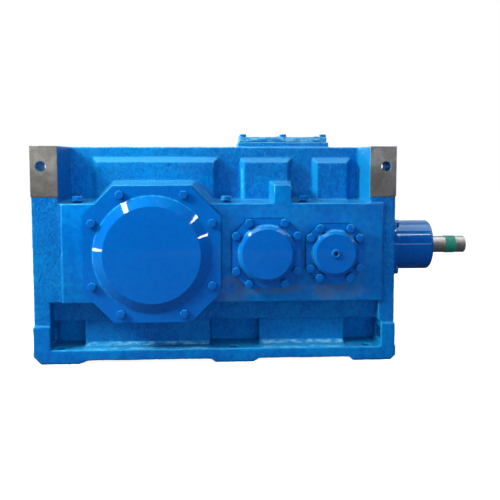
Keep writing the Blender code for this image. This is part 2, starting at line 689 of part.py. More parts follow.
# ------------------------------------------------------------------ top cover and small fittings
def inspection_cover():
    places = [(x, y) for x in (0.030, 0.157, 0.284) for y in (-0.074, 0.074)]
    base_z = INSPECTION_PAD_Z
    cover = box("inspection_cover", (0.018, 0.296), (-0.086, 0.086), (base_z + 0.0019, 0.687))
    holes = copies("inspection_holes", rod("hole", 0.0078, base_z - 0.005, 0.700, 6), places)
    cut(cover, holes)
    finish(cover, "blue_paint")
    outer = rectangle((0.020, 0.294), (-0.084, 0.084))
    inner = rectangle((0.048, 0.266), (-0.060, 0.060))
    gasket = plate("inspection_cover_bolts", [outer, inner], base_z + 0.0003, base_z + 0.0016)
    shank = 0.687 + GAP - base_z - 0.001
    bolts = copies("inspection_bolt_set", bolt("bolt", 0.011, 0.0085, 0.0062, shank), places)
    bolts.matrix_world = Matrix.Translation((0, 0, 0.687 + GAP))
    add(gasket, bolts)
    finish(gasket, "blue_paint")


def fittings():
    end_x = HOUSING_X - LOWER_HALF_LENGTH
    drain = turned("drain_plug", [
        (0, 0.012), (0.0173, 0.012), (0.0173, 0.0003), (0.0125, 0.0003), (0.0125, -0.018), (0, -0.018),
    ], 12, (end_x, 0, DRAIN_Z), ALONG_MINUS_X)
    finish(drain, "machined_steel")
    upper_end_x = HOUSING_X - UPPER_HALF_LENGTH
    breather = turned("breather", [
        (0, 0.052), (0.012, 0.052), (0.019, 0.046), (0.019, 0.022), (0.0125, 0.018), (0.0173, 0.014),
        (0.0173, 0.0003), (0.0125, 0.0003), (0.0125, -0.012), (0, -0.012),
    ], 12, (upper_end_x, 0, BREATHER_Z), ALONG_MINUS_X)
    finish(breather, "machined_steel")
    glass = turned("oil_sight_glass", [
        (0, 0.006), (0.019, 0.006), (0.021, 0.009), (0.029, 0.009), (0.029, 0.0003),
        (0.0215, 0.0003), (0.0215, -0.030), (0, -0.030),
    ], 16, (SIGHT_GLASS_X, PAD_Y, SIGHT_GLASS_Z), ALONG_Y)
    finish(glass, "sight_glass")


# ------------------------------------------------------------------ shafts and gears
def key(name, width, y, z, axis_x, slotted):
    """A parallel key above a shaft along Y, and its keyway in the shaft and the gear."""
    origin = (axis_x, 0, AXIS_Z)
    x = (axis_x - width / 2, axis_x + width / 2)
    heights = (AXIS_Z + z[0], AXIS_Z + z[1])
    piece = box(name, x, y, heights, origin)
    slot = box(name + "_slot", (x[0] - GAP, x[1] + GAP), (y[0] - GAP, y[1] + GAP),
               (heights[0] - GAP, heights[1] + GAP))
    for solid in slotted:
        cut(solid, slot)
    return finish(piece, "machined_steel")


def input_shaft():
    origin = (FIRST_X, 0, AXIS_Z)
    reach = INPUT_END_X - FIRST_X
    steps = [(0.098, 0), (0.121, 0.031), (0.1215 + 0.037, INPUT_BEARING[0]), (0.2965, 0.036),
             (0.336, INPUT_BEARING[0]), (0.352, 0.030), (reach, INPUT_END_RADIUS)]
    shaft = turned("input_shaft", stepped(steps, 0.002), COARSE, origin, ALONG_X)
    teeth = bevel_teeth("input_teeth", INPUT_TEETH, BEVEL_TEETH, True, math.radians(15), origin, ALONG_X)
    keyway = box("input_keyway", (0.664, 0.768), (-0.008, 0.008), (AXIS_Z + INPUT_END_RADIUS - 0.006, AXIS_Z + 0.05))
    add(shaft, teeth)
    cut(shaft, keyway)
    tape = ring("shaft_tape", INPUT_END_RADIUS + 0.0004, INPUT_END_RADIUS + 0.0012, 0.4055, 0.4395,
                COARSE, origin, ALONG_X)
    return finish(shaft, "machined_steel"), finish(tape, "green_tape")


def first_shaft():
    origin = (FIRST_X, 0, AXIS_Z)
    end = FIRST_BEARING_Y + FIRST_BEARING[2] / 2
    seat = end - FIRST_BEARING[2]
    steps = [(-end, 0), (-seat, FIRST_BEARING[0]), (-0.0965, 0.038), (-0.0330, 0.040),
             (0.140, 0.046), (seat, 0.038), (end, FIRST_BEARING[0])]
    shaft = turned("first_shaft", stepped(steps, 0.002), COARSE, origin, ALONG_Y)
    add(shaft, plate("first_pinion_teeth", [gear_outline(FIRST_PINION_TEETH, MIDDLE_MODULE, True)],
                     *MIDDLE_FACE_Y, origin, ALONG_Y))

    gear = bevel_teeth("bevel_gear", BEVEL_TEETH, INPUT_TEETH, False, 0.0, origin, ALONG_MINUS_Y)
    add(gear, rod("bevel_hub", 0.062, 0.040, 0.095, COARSE, origin, ALONG_MINUS_Y))
    cut(gear, rod("bevel_bore", 0.0403, 0.0, 0.120, COARSE, origin, ALONG_MINUS_Y))
    bevel_key = key("bevel_gear_key", 0.022, (-0.090, -0.040), (0.031, 0.0445), FIRST_X, (shaft, gear))
    return finish(shaft, "gear_steel"), finish(gear, "gear_steel"), bevel_key


def middle_shaft():
    origin = (MIDDLE_X, 0, AXIS_Z)
    end = MIDDLE_BEARING_Y + MIDDLE_BEARING[2] / 2
    seat = end - MIDDLE_BEARING[2]
    steps = [(-end, 0), (-seat, MIDDLE_BEARING[0]), (0.0655, 0.052), (MIDDLE_FACE_Y[1] + 0.002, 0.050),
             (seat, 0.048), (end, MIDDLE_BEARING[0])]
    shaft = turned("middle_shaft", stepped(steps, 0.002), COARSE, origin, ALONG_Y)
    pinion = gear_outline(MIDDLE_PINION_TEETH, OUTPUT_MODULE, True, math.pi / MIDDLE_PINION_TEETH)
    add(shaft, plate("middle_pinion_teeth", [pinion], -0.062, 0.062, origin, ALONG_Y))

    gear = plate("middle_gear", [gear_outline(MIDDLE_TEETH, MIDDLE_MODULE, False), circle(0.0503, COARSE)],
                 *MIDDLE_FACE_Y, origin, ALONG_Y)
    middle_key = key("middle_gear_key", 0.028, (0.070, 0.106), (0.040, 0.0545), MIDDLE_X, (shaft, gear))
    return finish(shaft, "gear_steel"), finish(gear, "gear_steel"), middle_key


def output_shaft():
    origin = (OUTPUT_X, 0, AXIS_Z)
    end = OUTPUT_BEARING_Y + OUTPUT_BEARING[2] / 2
    seat = end - OUTPUT_BEARING[2]
    steps = [(-end, 0), (-seat, OUTPUT_BEARING[0]), (-0.0603, 0.088), (0.0603, 0.092), (0.076, 0.105),
             (seat, 0.090), (end, OUTPUT_BEARING[0]), (0.2525, 0.0775), (OUTPUT_END_Y, OUTPUT_END_RADIUS)]
    shaft = turned("output_shaft", stepped(steps, 0.003), FINE, origin, ALONG_Y)
    keyway = box("output_keyway", (OUTPUT_X - 0.018, OUTPUT_X + 0.018), (0.265, 0.475),
                 (AXIS_Z + OUTPUT_END_RADIUS - 0.012, AXIS_Z + 0.120))
    cut(shaft, keyway)

    gear = plate("output_gear", [gear_outline(OUTPUT_TEETH, OUTPUT_MODULE, False), circle(0.0923, FINE)],
                 *OUTPUT_FACE_Y, origin, ALONG_Y)
    for side in (-1, 1):
        low, high = sorted((side * 0.022, side * 0.080))
        cut(gear, ring(f"web_recess_{side}", 0.128, 0.222, low, high, FINE, origin, ALONG_Y))
    output_key = key("output_gear_key", 0.045, (-0.056, 0.056), (0.078, 0.101), OUTPUT_X, (shaft, gear))
    return finish(shaft, "gear_steel"), finish(gear, "gear_steel"), output_key


def bearing(name, size, origin, turn, facets):
    """A roller bearing: the outer ring stays, the inner ring turns with its rollers and cage."""
    bore, outside, width = size
    race = bore + 0.72 * (outside - bore)
    half = width / 2 - GAP
    roller_top = race * math.cos(math.pi / facets) - 0.0006
    shoulder = bore + 0.30 * (outside - bore)
    outer = ring(name + "_outer_ring", race, outside - GAP, -half, half, facets, origin, turn)
    inner = turned(name + "_inner_ring", [
        (bore + GAP, half), (shoulder, half), (roller_top, 0.72 * half), (roller_top, -0.72 * half),
        (shoulder, -half), (bore + GAP, -half),
    ], facets, origin, turn, closed=True)
    finish(outer, "bearing_steel")
    return finish(inner, "bearing_steel")


def axis_empty(name, origin):
    empty = bpy.data.objects.new(name, None)
    empty.location = origin
    PARTS.objects.link(empty)
    return empty


def ride(axis, *pieces):
    """Hang pieces on the empty that marks their joint's axis, leaving them where they are."""
    bpy.context.view_layer.update()
    for piece in pieces:
        piece.parent = axis
        piece.matrix_parent_inverse = axis.matrix_world.inverted()


def gear_train():
    input_axis = axis_empty("input_axis", (FIRST_X, 0, AXIS_Z))
    first_axis = axis_empty("first_axis", (FIRST_X, 0, AXIS_Z))
    middle_axis = axis_empty("middle_axis", (MIDDLE_X, 0, AXIS_Z))
    output_axis = axis_empty("output_axis", (OUTPUT_X, 0, AXIS_Z))
    ride(input_axis, *input_shaft())
    ride(first_axis, *first_shaft())
    ride(middle_axis, *middle_shaft())
    ride(output_axis, *output_shaft())
    for x, name in zip(INPUT_BEARINGS_X, ("inner", "outer")):
        ride(input_axis, bearing(f"input_bearing_{name}", INPUT_BEARING, (x, 0, AXIS_Z), ALONG_X, COARSE))
    for side, name in ((-1, "front"), (1, "rear")):
        ride(first_axis, bearing(f"first_bearing_{name}", FIRST_BEARING,
                                 (FIRST_X, side * FIRST_BEARING_Y, AXIS_Z), ALONG_Y, COARSE))
        ride(middle_axis, bearing(f"middle_bearing_{name}", MIDDLE_BEARING,
                                  (MIDDLE_X, side * MIDDLE_BEARING_Y, AXIS_Z), ALONG_Y, COARSE))
        ride(output_axis, bearing(f"output_bearing_{name}", OUTPUT_BEARING,
                                  (OUTPUT_X, side * OUTPUT_BEARING_Y, AXIS_Z), ALONG_Y, FINE))


split_casting()
split_bolts()
bearing_covers()
input_quill()
inspection_cover()
fittings()
gear_train()
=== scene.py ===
"""Looks of the right-angle gear unit: a thickly painted casting, covers, bolts, neck and shafts.

Everything is in metres in the CAD frame: +X to the input shaft, +Y to the rear, +Z up.
"""
import math
import random

import bmesh
import bpy
from mathutils import Matrix, Vector


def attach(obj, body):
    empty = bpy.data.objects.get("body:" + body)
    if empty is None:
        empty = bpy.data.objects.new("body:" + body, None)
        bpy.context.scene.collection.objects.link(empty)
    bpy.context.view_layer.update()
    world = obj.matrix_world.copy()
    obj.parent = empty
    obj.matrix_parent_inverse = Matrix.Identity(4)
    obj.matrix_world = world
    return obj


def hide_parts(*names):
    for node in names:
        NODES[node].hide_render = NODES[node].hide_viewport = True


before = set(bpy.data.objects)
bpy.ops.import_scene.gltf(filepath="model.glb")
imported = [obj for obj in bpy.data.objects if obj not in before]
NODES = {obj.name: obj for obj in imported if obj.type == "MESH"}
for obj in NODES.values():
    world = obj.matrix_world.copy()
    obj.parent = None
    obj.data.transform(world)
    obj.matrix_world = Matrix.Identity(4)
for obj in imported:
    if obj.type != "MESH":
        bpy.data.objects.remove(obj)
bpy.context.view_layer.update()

# ------------------------------------------------------------------ dimensions taken over from the CAD
AXIS_Z = 0.334
OUTPUT_X, MIDDLE_X, FIRST_X = -0.243, 0.097, 0.303
HOUSING_X, HALF_LENGTH = -0.055, 0.545
PAD_Y = 0.205
HALF_WIDTH = 0.200
PAD_Z = (0.185, 0.483)
LOWER_WALL_Y = 0.150
FLANGE_Z = 0.042                    # top of the base flange
BETWEEN_POCKETS = (-0.457, -0.078), (0.082, 0.342)
LUG_BASE_Z = 0.505
LUG_INNER = 0.4665                  # of the lug faces, from the middle of the housing
LUG_HOLE_X, LUG_HOLE_Z, LUG_HOLE_RADIUS = 0.515, 0.594, 0.0155
TOP_Z = 0.655
SPLIT_GAP = 0.0003
QUILL_END_X = 0.652
QUILL_RADIUS = 0.081
QUILL_FLANGE_X = (HOUSING_X + HALF_LENGTH, 0.523)
INPUT_END_X = 0.777
INPUT_END_RADIUS = 0.0275
OUTPUT_END_Y = 0.490
OUTPUT_END_RADIUS = 0.075
OUTPUT_PLATE = 0.028
OUTPUT_CAP = (0.176, 0.144, 0.045)  # radius at its foot and of its face, and height from the pad
SPLIT_BOLTS_X = (-0.472, -0.024, 0.211)
SPLIT_BOLT_Y = 0.170
SPLIT_BOLT_Z = 0.4925               # under the heads
NECK_BOLTS_RADIUS = 0.105
DRAIN = (HOUSING_X - 0.525, 0, 0.066)
BREATHER = (HOUSING_X - 0.467, 0, 0.600)
SIGHT_GLASS = (-0.479, PAD_Y, 0.213)
HALVES = (("housing_lower", -1), ("housing_upper", 1))
SIDES = ((-1, "front"), (1, "rear"))

ALONG_X = Matrix.Rotation(math.radians(90), 4, "Y")
ALONG_MINUS_X = Matrix.Rotation(math.radians(-90), 4, "Y")
ALONG_Y = Matrix.Rotation(math.radians(-90), 4, "X")
ALONG_MINUS_Y = Matrix.Rotation(math.radians(90), 4, "X")
UPRIGHT = Matrix.Identity(4)

VOXEL = 0.0024
HOUSING_FACES = 230000
ROUND = 128        # facets round the large turned pieces
FLANK, FLANK_END = 0.006, 0.0008    # flanks longer than this get a ring this close to each end
chance = random.Random(7)


# ------------------------------------------------------------------ node helpers
class Nodes:
    """Short calls for building a material's nodes."""

    def __init__(self, name):
        self.material = bpy.data.materials.new(name)
        self.material.use_nodes = True
        self.tree = self.material.node_tree
        self.tree.nodes.clear()
        self.output = self.make("ShaderNodeOutputMaterial")
        self.shader = self.make("ShaderNodeBsdfPrincipled")
        self.link(self.shader.outputs[0], self.output.inputs[0])
        self.where = self.make("ShaderNodeTexCoord").outputs["Object"]
        self.axes = self.make("ShaderNodeSeparateXYZ")
        self.link(self.where, self.axes.inputs[0])

    def make(self, kind, **settings):
        node = self.tree.nodes.new(kind)
        for key, value in settings.items():
            setattr(node, key, value)
        return node

    def link(self, source, target):
        self.tree.links.new(source, target)

    def feed(self, socket, value):
        if isinstance(value, bpy.types.NodeSocket):
            self.link(value, socket)
        elif isinstance(value, (tuple, list)):
            socket.default_value = (*value, 1.0) if len(value) == 3 and socket.type == "RGBA" else value
        else:
            socket.default_value = value

    def math(self, operation, first, second=0.0, third=0.0, clamp=False):
        node = self.make("ShaderNodeMath", operation=operation, use_clamp=clamp)
        for socket, value in zip(node.inputs, (first, second, third)):
            self.feed(socket, value)
        return node.outputs[0]

    def noise(self, scale, detail=3.0, roughness=0.55, where=None, distortion=0.0):
        node = self.make("ShaderNodeTexNoise")
        self.feed(node.inputs["Vector"], where or self.where)
        self.feed(node.inputs["Scale"], scale)
        self.feed(node.inputs["Detail"], detail)
        self.feed(node.inputs["Roughness"], roughness)
        self.feed(node.inputs["Distortion"], distortion)
        return node.outputs["Fac"]

    def ramp(self, value, low, high, to_low=0.0, to_high=1.0):
        """value between low and high, spread smoothly over to_low..to_high."""
        node = self.make("ShaderNodeMapRange", interpolation_type="SMOOTHSTEP")
        for socket, number in zip(node.inputs, (value, low, high, to_low, to_high)):
            self.feed(socket, number)
        return node.outputs[0]

    def mix(self, factor, first, second):
        node = self.make("ShaderNodeMix", data_type="RGBA")
        self.feed(node.inputs[0], factor)
        self.feed(node.inputs[6], first)
        self.feed(node.inputs[7], second)
        return node.outputs[2]

    def stretched(self, x, y, z):
        node = self.make("ShaderNodeMapping")
        self.link(self.where, node.inputs["Vector"])
        node.inputs["Scale"].default_value = (x, y, z)
        return node.outputs[0]

    def bump(self, height, distance, strength=1.0, below=None):
        node = self.make("ShaderNodeBump")
        self.feed(node.inputs["Height"], height)
        node.inputs["Distance"].default_value = distance
        node.inputs["Strength"].default_value = strength
        if below:
            self.link(below, node.inputs["Normal"])
        return node.outputs[0]

    def set(self, **values):
        for key, value in values.items():
            self.feed(self.shader.inputs[key.replace("_", " ")], value)


# ------------------------------------------------------------------ materials
COVER_BLUES = (0.0006, 0.100, 0.455), (0.0008, 0.140, 0.535)      # deepest and lightest
CAST_BLUES = (0.0006, 0.120, 0.460), (0.0008, 0.205, 0.580)
# The next two are painted shade in the hollows of the cast skin, and painted light on its crests and on
# faces turned up or to the left.
SHADED_BLUE = (0.0005, 0.050, 0.220)
LIT_BLUE = (0.0060, 0.300, 0.640)
# Painted highlight on convex edges that face up or to the left.
EDGE_HIGHLIGHT = (0.0250, 0.560, 0.880)
# Painted highlight in streaks along the base flange's edges and the inspection cover's rim.
STREAK_HIGHLIGHT = (0.2200, 0.680, 0.900)
# Painted shade in corners and where pieces meet.
CORNER_SHADE = (0.0005, 0.016, 0.075)
SEAM_BLUE = (0.0010, 0.030, 0.110)
DUST = (0.115, 0.135, 0.150)
# Dusty patches on the front pad: x, z, half width, half height.
DUSTY_PATCHES = ((-0.010, 0.215, 0.060, 0.060), (0.110, 0.222, 0.190, 0.020),
                 (0.300, 0.214, 0.140, 0.030), (0.020, 0.270, 0.030, 0.060))


def patch(nodes, x, z, half_width, half_height):
    """1 in the middle of a soft elliptical patch of the front side, 0 outside it."""
    squares = []
    for axis, middle, reach in ((0, x, half_width), (2, z, half_height)):
        offset = nodes.math("SUBTRACT", nodes.axes.outputs[axis], middle)
        squares.append(nodes.math("POWER", nodes.math("DIVIDE", offset, reach), 2))
    return nodes.ramp(nodes.math("ADD", *squares), 1.0, 0.15)


def convex_edges(nodes, reach):
    """1 on edges that stick out, 0 on flat faces and in corners; it places the painted highlights on edges.
    """
    inward = nodes.make("ShaderNodeAmbientOcclusion", inside=True, only_local=True, samples=8)
    inward.inputs["Distance"].default_value = reach
    return nodes.ramp(nodes.math("SUBTRACT", 1.0, inward.outputs["AO"]), 0.09, 0.30)


def corners(nodes, reach):
    """1 deep in corners and where two pieces meet, 0 in the open."""
    outward = nodes.make("ShaderNodeAmbientOcclusion", samples=8)
    outward.inputs["Distance"].default_value = reach
    return nodes.ramp(nodes.math("SUBTRACT", 1.0, outward.outputs["AO"]), 0.20, 0.62)


def band(nodes, value, middle, half):
    """1 where a value is within half of the middle, fading out at the ends."""
    away = nodes.math("ABSOLUTE", nodes.math("SUBTRACT", value, middle))
    return nodes.ramp(away, half, half * 0.3)


def ledge_highlights(nodes, depth):
    """Painted highlights in broken streaks along both edges of the base flange's top, between the pockets.
    """
    x, height = nodes.axes.outputs[0], nodes.axes.outputs[2]
    back = nodes.math("MULTIPLY", band(nodes, depth, LOWER_WALL_Y + 0.005, 0.011),
                      band(nodes, height, FLANGE_Z + 0.006, 0.008))
    front = nodes.math("MULTIPLY", band(nodes, depth, HALF_WIDTH - 0.007, 0.012),
                       band(nodes, height, FLANGE_Z, 0.007))
    between = 0.0
    for low, high in BETWEEN_POCKETS:
        away = nodes.math("ABSOLUTE", nodes.math("SUBTRACT", x, (low + high) / 2))
        half = (high - low) / 2
        between = nodes.math("MAXIMUM", between, nodes.ramp(away, half, half - 0.006))
    streaks = nodes.noise(60.0, 4.0, 0.7, where=nodes.stretched(0.6, 1.0, 1.0))
    broken = nodes.ramp(streaks, 0.42, 0.60, 0.05, 0.75)
    highlight_streaks = nodes.math("MULTIPLY", nodes.math("MAXIMUM", back, front), between)
    return nodes.math("MULTIPLY", highlight_streaks, broken)


def rim_highlights(nodes, facing_up):
    """Painted highlights in streaks on the upright edges of the inspection opening's cover."""
    streaks = nodes.noise(45.0, 4.0, 0.7, where=nodes.stretched(0.6, 0.6, 2.2))
    streaks = nodes.ramp(streaks, 0.42, 0.62, 0.05, 0.65)
    upright = nodes.math("MULTIPLY", nodes.ramp(nodes.axes.outputs[2], TOP_Z + 0.012, TOP_Z + 0.016),
                         nodes.ramp(facing_up, 0.85, 0.50))
    return nodes.math("MULTIPLY", streaks, upright)


def paint(name, cast=False):
    """Thick blue enamel; cast gives it the rough skin of the casting under it."""
    nodes = Nodes(name)
    deepest, lightest = CAST_BLUES if cast else COVER_BLUES
    broad = nodes.noise(5.0, 3.0)
    mottle = nodes.noise(55.0, 4.0, 0.6)
    blend = nodes.math("ADD", nodes.math("MULTIPLY", broad, 0.6), nodes.math("MULTIPLY", mottle, 0.4))
    low, high = (0.36, 0.66) if cast else (0.10, 0.90)
    colour = nodes.mix(nodes.ramp(blend, low, high), deepest, lightest)
    peel = nodes.noise(185.0, 3.0, 0.65, where=nodes.stretched(1.0, 1.0, 0.6))

    geometry = nodes.make("ShaderNodeNewGeometry")
    facing = nodes.make("ShaderNodeSeparateXYZ")
    nodes.link(geometry.outputs["Normal"], facing.inputs[0])
    depth = nodes.math("ABSOLUTE", nodes.axes.outputs[1])
    on_pad = nodes.ramp(depth, 0.2030, 0.2040) if cast else 1.0
    rough_skin = nodes.math("SUBTRACT", 1.0, on_pad) if cast else 0.0

    if cast:
        # Painted light and shade on the cast skin: its hollows are darkened and its crests lightened, as
        # light would fall on the bumps.
        shaded_hollows = nodes.math("MULTIPLY", nodes.ramp(peel, 0.50, 0.34, 0.0, 0.42), rough_skin)
        lit_crests = nodes.math("MULTIPLY", nodes.ramp(peel, 0.53, 0.68, 0.0, 0.45), rough_skin)
        colour = nodes.mix(lit_crests, nodes.mix(shaded_hollows, colour, SHADED_BLUE), LIT_BLUE)
    # Painted light: faces turned up or to the left are made lighter, as the key light falls from the upper
    # left.
    upper_left = nodes.math("MAXIMUM", facing.outputs[2], nodes.math("MULTIPLY", facing.outputs[0], -0.8))
    painted_light = nodes.ramp(upper_left, 0.25, 0.85, 0.0, 0.62)
    colour = nodes.mix(painted_light, colour, LIT_BLUE)
    dust = nodes.math("MULTIPLY", nodes.ramp(facing.outputs[2], 0.70, 0.98), nodes.ramp(mottle, 0.42, 0.70))
    dust = nodes.math("MULTIPLY", dust, 0.22)
    # Painted highlight: a broken light line on convex edges that face up or to the left.
    broken = nodes.ramp(nodes.noise(70.0, 3.0, 0.7), 0.40, 0.60, 0.25, 1.0)
    edge = nodes.math("MULTIPLY", convex_edges(nodes, 0.007 if cast else 0.0022), broken)
    edge = nodes.math("MULTIPLY", edge, nodes.ramp(upper_left, 0.0, 0.45, 0.0, 0.9 if cast else 0.5))
    colour = nodes.mix(edge, colour, EDGE_HIGHLIGHT)
    # Painted shade: darker deep in corners and where two pieces meet.
    colour = nodes.mix(nodes.math("MULTIPLY", corners(nodes, 0.012), 0.80), colour, CORNER_SHADE)
    if cast:
        smear = nodes.noise(26.0, 5.0, 0.7, distortion=0.4)
        patches = 0.0
        for place in DUSTY_PATCHES:
            patches = nodes.math("MAXIMUM", patches, patch(nodes, *place))
        patches = nodes.math("MULTIPLY", patches, nodes.ramp(smear, 0.36, 0.62))
        patches = nodes.math("MULTIPLY", patches, nodes.math("MULTIPLY", on_pad, 0.42))
        dust = nodes.math("MAXIMUM", dust, patches)
        # Painted highlights in streaks on the base flange's edges and the inspection cover's rim.
        highlight_streaks = nodes.math("MAXIMUM", ledge_highlights(nodes, depth), rim_highlights(nodes, facing.outputs[2]))
        colour = nodes.mix(highlight_streaks, colour, STREAK_HIGHLIGHT)
    colour = nodes.mix(dust, colour, DUST)

    specks = nodes.math("MULTIPLY", nodes.ramp(nodes.noise(300.0, 1.0, 0.4), 0.66, 0.74),
                        nodes.ramp(nodes.noise(38.0, 2.0), 0.48, 0.62))
    roughness = nodes.ramp(mottle, 0.30, 0.70, 0.22, 0.40)
    roughness = nodes.math("ADD", roughness, nodes.math("MULTIPLY", dust, 0.55))
    roughness = nodes.math("SUBTRACT", roughness, nodes.math("MULTIPLY", edge, 0.08))
    if cast:
        roughness = nodes.math("ADD", roughness, nodes.math("MULTIPLY", rough_skin, 0.06))

    skin = nodes.bump(nodes.noise(150.0 if cast else 60.0, 3.0, 0.5), 0.0004, 0.35 if cast else 0.20)
    if cast:
        skin = nodes.bump(nodes.math("MULTIPLY", peel, rough_skin), 0.0050, 0.80, skin)
        seam_height = nodes.math("ABSOLUTE", nodes.math("SUBTRACT", nodes.axes.outputs[2], AXIS_Z))
        seam = nodes.math("MULTIPLY", nodes.ramp(seam_height, 0.0022, 0.0004), rough_skin)
        seam = nodes.math("MULTIPLY", seam, nodes.ramp(nodes.noise(30.0, 3.0), 0.40, 0.60))
        skin = nodes.bump(nodes.math("SUBTRACT", 1.0, seam), 0.0006, 0.5, skin)
        colour = nodes.mix(nodes.math("MULTIPLY", seam, 0.35), colour, SEAM_BLUE)
    skin = nodes.bump(specks, 0.0012, 0.5, skin)
    nodes.set(Base_Color=colour, Roughness=roughness, Normal=skin, Coat_Normal=skin,
              Coat_Weight=0.8 if cast else 1.0, Coat_Roughness=0.08 if cast else 0.025)
    nodes.set(Specular_IOR_Level=0.35, Specular_Tint=(0.05, 0.50, 1.0))
    return nodes.material


def bare_iron():
    """Milled cast iron of the lifting lugs: grey brown, mottled, with faint milling lines."""
    nodes = Nodes("bare_iron")
    stain = nodes.noise(24.0, 5.0, 0.65, distortion=0.6)
    fine = nodes.noise(210.0, 3.0)
    lines = nodes.noise(30.0, 4.0, 0.6, where=nodes.stretched(1.0, 1.0, 14.0))
    colour = nodes.mix(nodes.ramp(stain, 0.35, 0.68), (0.215, 0.202, 0.188), (0.350, 0.342, 0.328))
    colour = nodes.mix(nodes.math("MULTIPLY", nodes.ramp(nodes.noise(9.0, 4.0, 0.7), 0.56, 0.72), 0.5),
                       colour, (0.150, 0.105, 0.066))
    colour = nodes.mix(nodes.math("MULTIPLY", nodes.ramp(fine, 0.55, 0.7), 0.25), colour, (0.05, 0.05, 0.05))
    # The milled faces are made darker towards the bottom of the lugs.
    low = nodes.ramp(nodes.axes.outputs[2], TOP_Z - 0.020, LUG_BASE_Z + 0.015)
    colour = nodes.mix(nodes.math("MULTIPLY", low, 0.60), colour, (0.085, 0.080, 0.076))
    height = nodes.math("ADD", nodes.math("MULTIPLY", lines, 0.6), nodes.math("MULTIPLY", fine, 0.4))
    nodes.set(Base_Color=colour, Metallic=0.35, Roughness=nodes.ramp(stain, 0.3, 0.7, 0.62, 0.44),
              Normal=nodes.bump(height, 0.0006, 0.5))
    return nodes.material


def turned_steel(name, colour, along):
    """Bright steel with fine rings from turning; along is the axis the rings are stacked on."""
    nodes = Nodes(name)
    scale = [6.0, 6.0, 6.0]
    scale["XYZ".index(along)] = 700.0
    rings = nodes.noise(1.0, 2.0, 0.5, where=nodes.stretched(*scale))
    blotch = nodes.noise(34.0, 4.0, 0.6)
    dark = tuple(part * 0.52 for part in colour)
    shade = nodes.mix(nodes.ramp(rings, 0.30, 0.72), dark, colour)
    stain = nodes.math("MULTIPLY", nodes.ramp(blotch, 0.50, 0.75), 0.5)
    shade = nodes.mix(stain, shade, (0.12, 0.095, 0.070))
    nodes.set(Base_Color=shade, Metallic=0.80, Roughness=nodes.ramp(blotch, 0.3, 0.7, 0.38, 0.54),
              Normal=nodes.bump(rings, 0.0003, 0.5))
    return nodes.material


def worked_steel(name, colour, roughness):
    """Gears, keys and bearing rings: oiled steel with faint scratches."""
    nodes = Nodes(name)
    scratches = nodes.noise(60.0, 5.0, 0.7, where=nodes.stretched(1.0, 5.0, 1.0))
    blotch = nodes.noise(18.0, 3.0)
    shade = nodes.mix(nodes.ramp(blotch, 0.35, 0.7), tuple(part * 0.7 for part in colour), colour)
    nodes.set(Base_Color=shade, Metallic=1.0,
              Roughness=nodes.ramp(scratches, 0.3, 0.7, roughness, roughness + 0.15),
              Normal=nodes.bump(scratches, 0.0002, 0.4))
    return nodes.material


def rubber():
    nodes = Nodes("black_rubber")
    grain = nodes.noise(500.0, 2.0)
    shade = nodes.mix(nodes.noise(60.0), (0.010, 0.010, 0.011), (0.030, 0.029, 0.028))
    nodes.set(Base_Color=shade, Roughness=nodes.ramp(grain, 0.3, 0.7, 0.45, 0.62),
              Normal=nodes.bump(grain, 0.0002, 0.5))
    return nodes.material


def gasket_paper():
    nodes = Nodes("gasket")
    grain = nodes.noise(300.0, 3.0)
    shade = nodes.mix(nodes.noise(40.0), (0.004, 0.018, 0.052), (0.010, 0.040, 0.100))
    nodes.set(Base_Color=shade, Roughness=0.75, Normal=nodes.bump(grain, 0.0003, 0.6))
    return nodes.material


def tape():
    """Green plastic tape, creased and a little paler on the creases."""
    nodes = Nodes("green_tape")
    crease = nodes.noise(70.0, 4.0, 0.6, where=nodes.stretched(3.0, 1.0, 1.0))
    shade = nodes.mix(nodes.ramp(crease, 0.35, 0.7), (0.010, 0.270, 0.150), (0.018, 0.440, 0.260))
    nodes.set(Base_Color=shade, Roughness=nodes.ramp(crease, 0.3, 0.7, 0.30, 0.48),
              Normal=nodes.bump(crease, 0.0008, 0.5))
    return nodes.material


def brass():
    nodes = Nodes("brass")
    blotch = nodes.noise(80.0, 4.0)
    shade = nodes.mix(nodes.ramp(blotch, 0.35, 0.7), (0.42, 0.26, 0.09), (0.62, 0.42, 0.17))
    nodes.set(Base_Color=shade, Metallic=1.0, Roughness=nodes.ramp(blotch, 0.3, 0.7, 0.22, 0.42))
    return nodes.material


def sight_oil():
    """The sight glass: amber oil up to about two thirds, pale above."""
    nodes = Nodes("sight_oil")
    level = nodes.ramp(nodes.axes.outputs[2], 0.2155, 0.2165)
    shade = nodes.mix(level, (0.34, 0.15, 0.020), (0.62, 0.66, 0.60))
    shade = nodes.mix(nodes.math("MULTIPLY", nodes.noise(90.0), 0.25), shade, (0.10, 0.07, 0.03))
    nodes.set(Base_Color=shade, Roughness=nodes.ramp(nodes.noise(60.0), 0.3, 0.7, 0.04, 0.12),
              Coat_Weight=1.0)
    return nodes.material


CAST_PAINT = paint("cast_enamel", cast=True)
COVER_PAINT = paint("cover_enamel")
IRON = bare_iron()
SHAFT_STEEL = turned_steel("shaft_steel", (0.70, 0.67, 0.62), "X")
OUTPUT_STEEL = turned_steel("output_shaft_steel", (0.50, 0.48, 0.45), "Y")
GEAR_STEEL = worked_steel("gear_steel", (0.36, 0.36, 0.37), 0.28)
BEARING_STEEL = worked_steel("bearing_steel", (0.55, 0.55, 0.56), 0.15)
PLATED_STEEL = worked_steel("plated_steel", (0.42, 0.42, 0.41), 0.25)
RUBBER = rubber()
GASKET_PAPER = gasket_paper()
TAPE = tape()
BRASS = brass()
OIL = sight_oil()


# ------------------------------------------------------------------ mesh helpers
def mesh_of(bm, name):
    """A mesh made of a bmesh, which is then freed."""
    mesh = bpy.data.meshes.new(name)
    bm.to_mesh(mesh)
    bm.free()
    return mesh


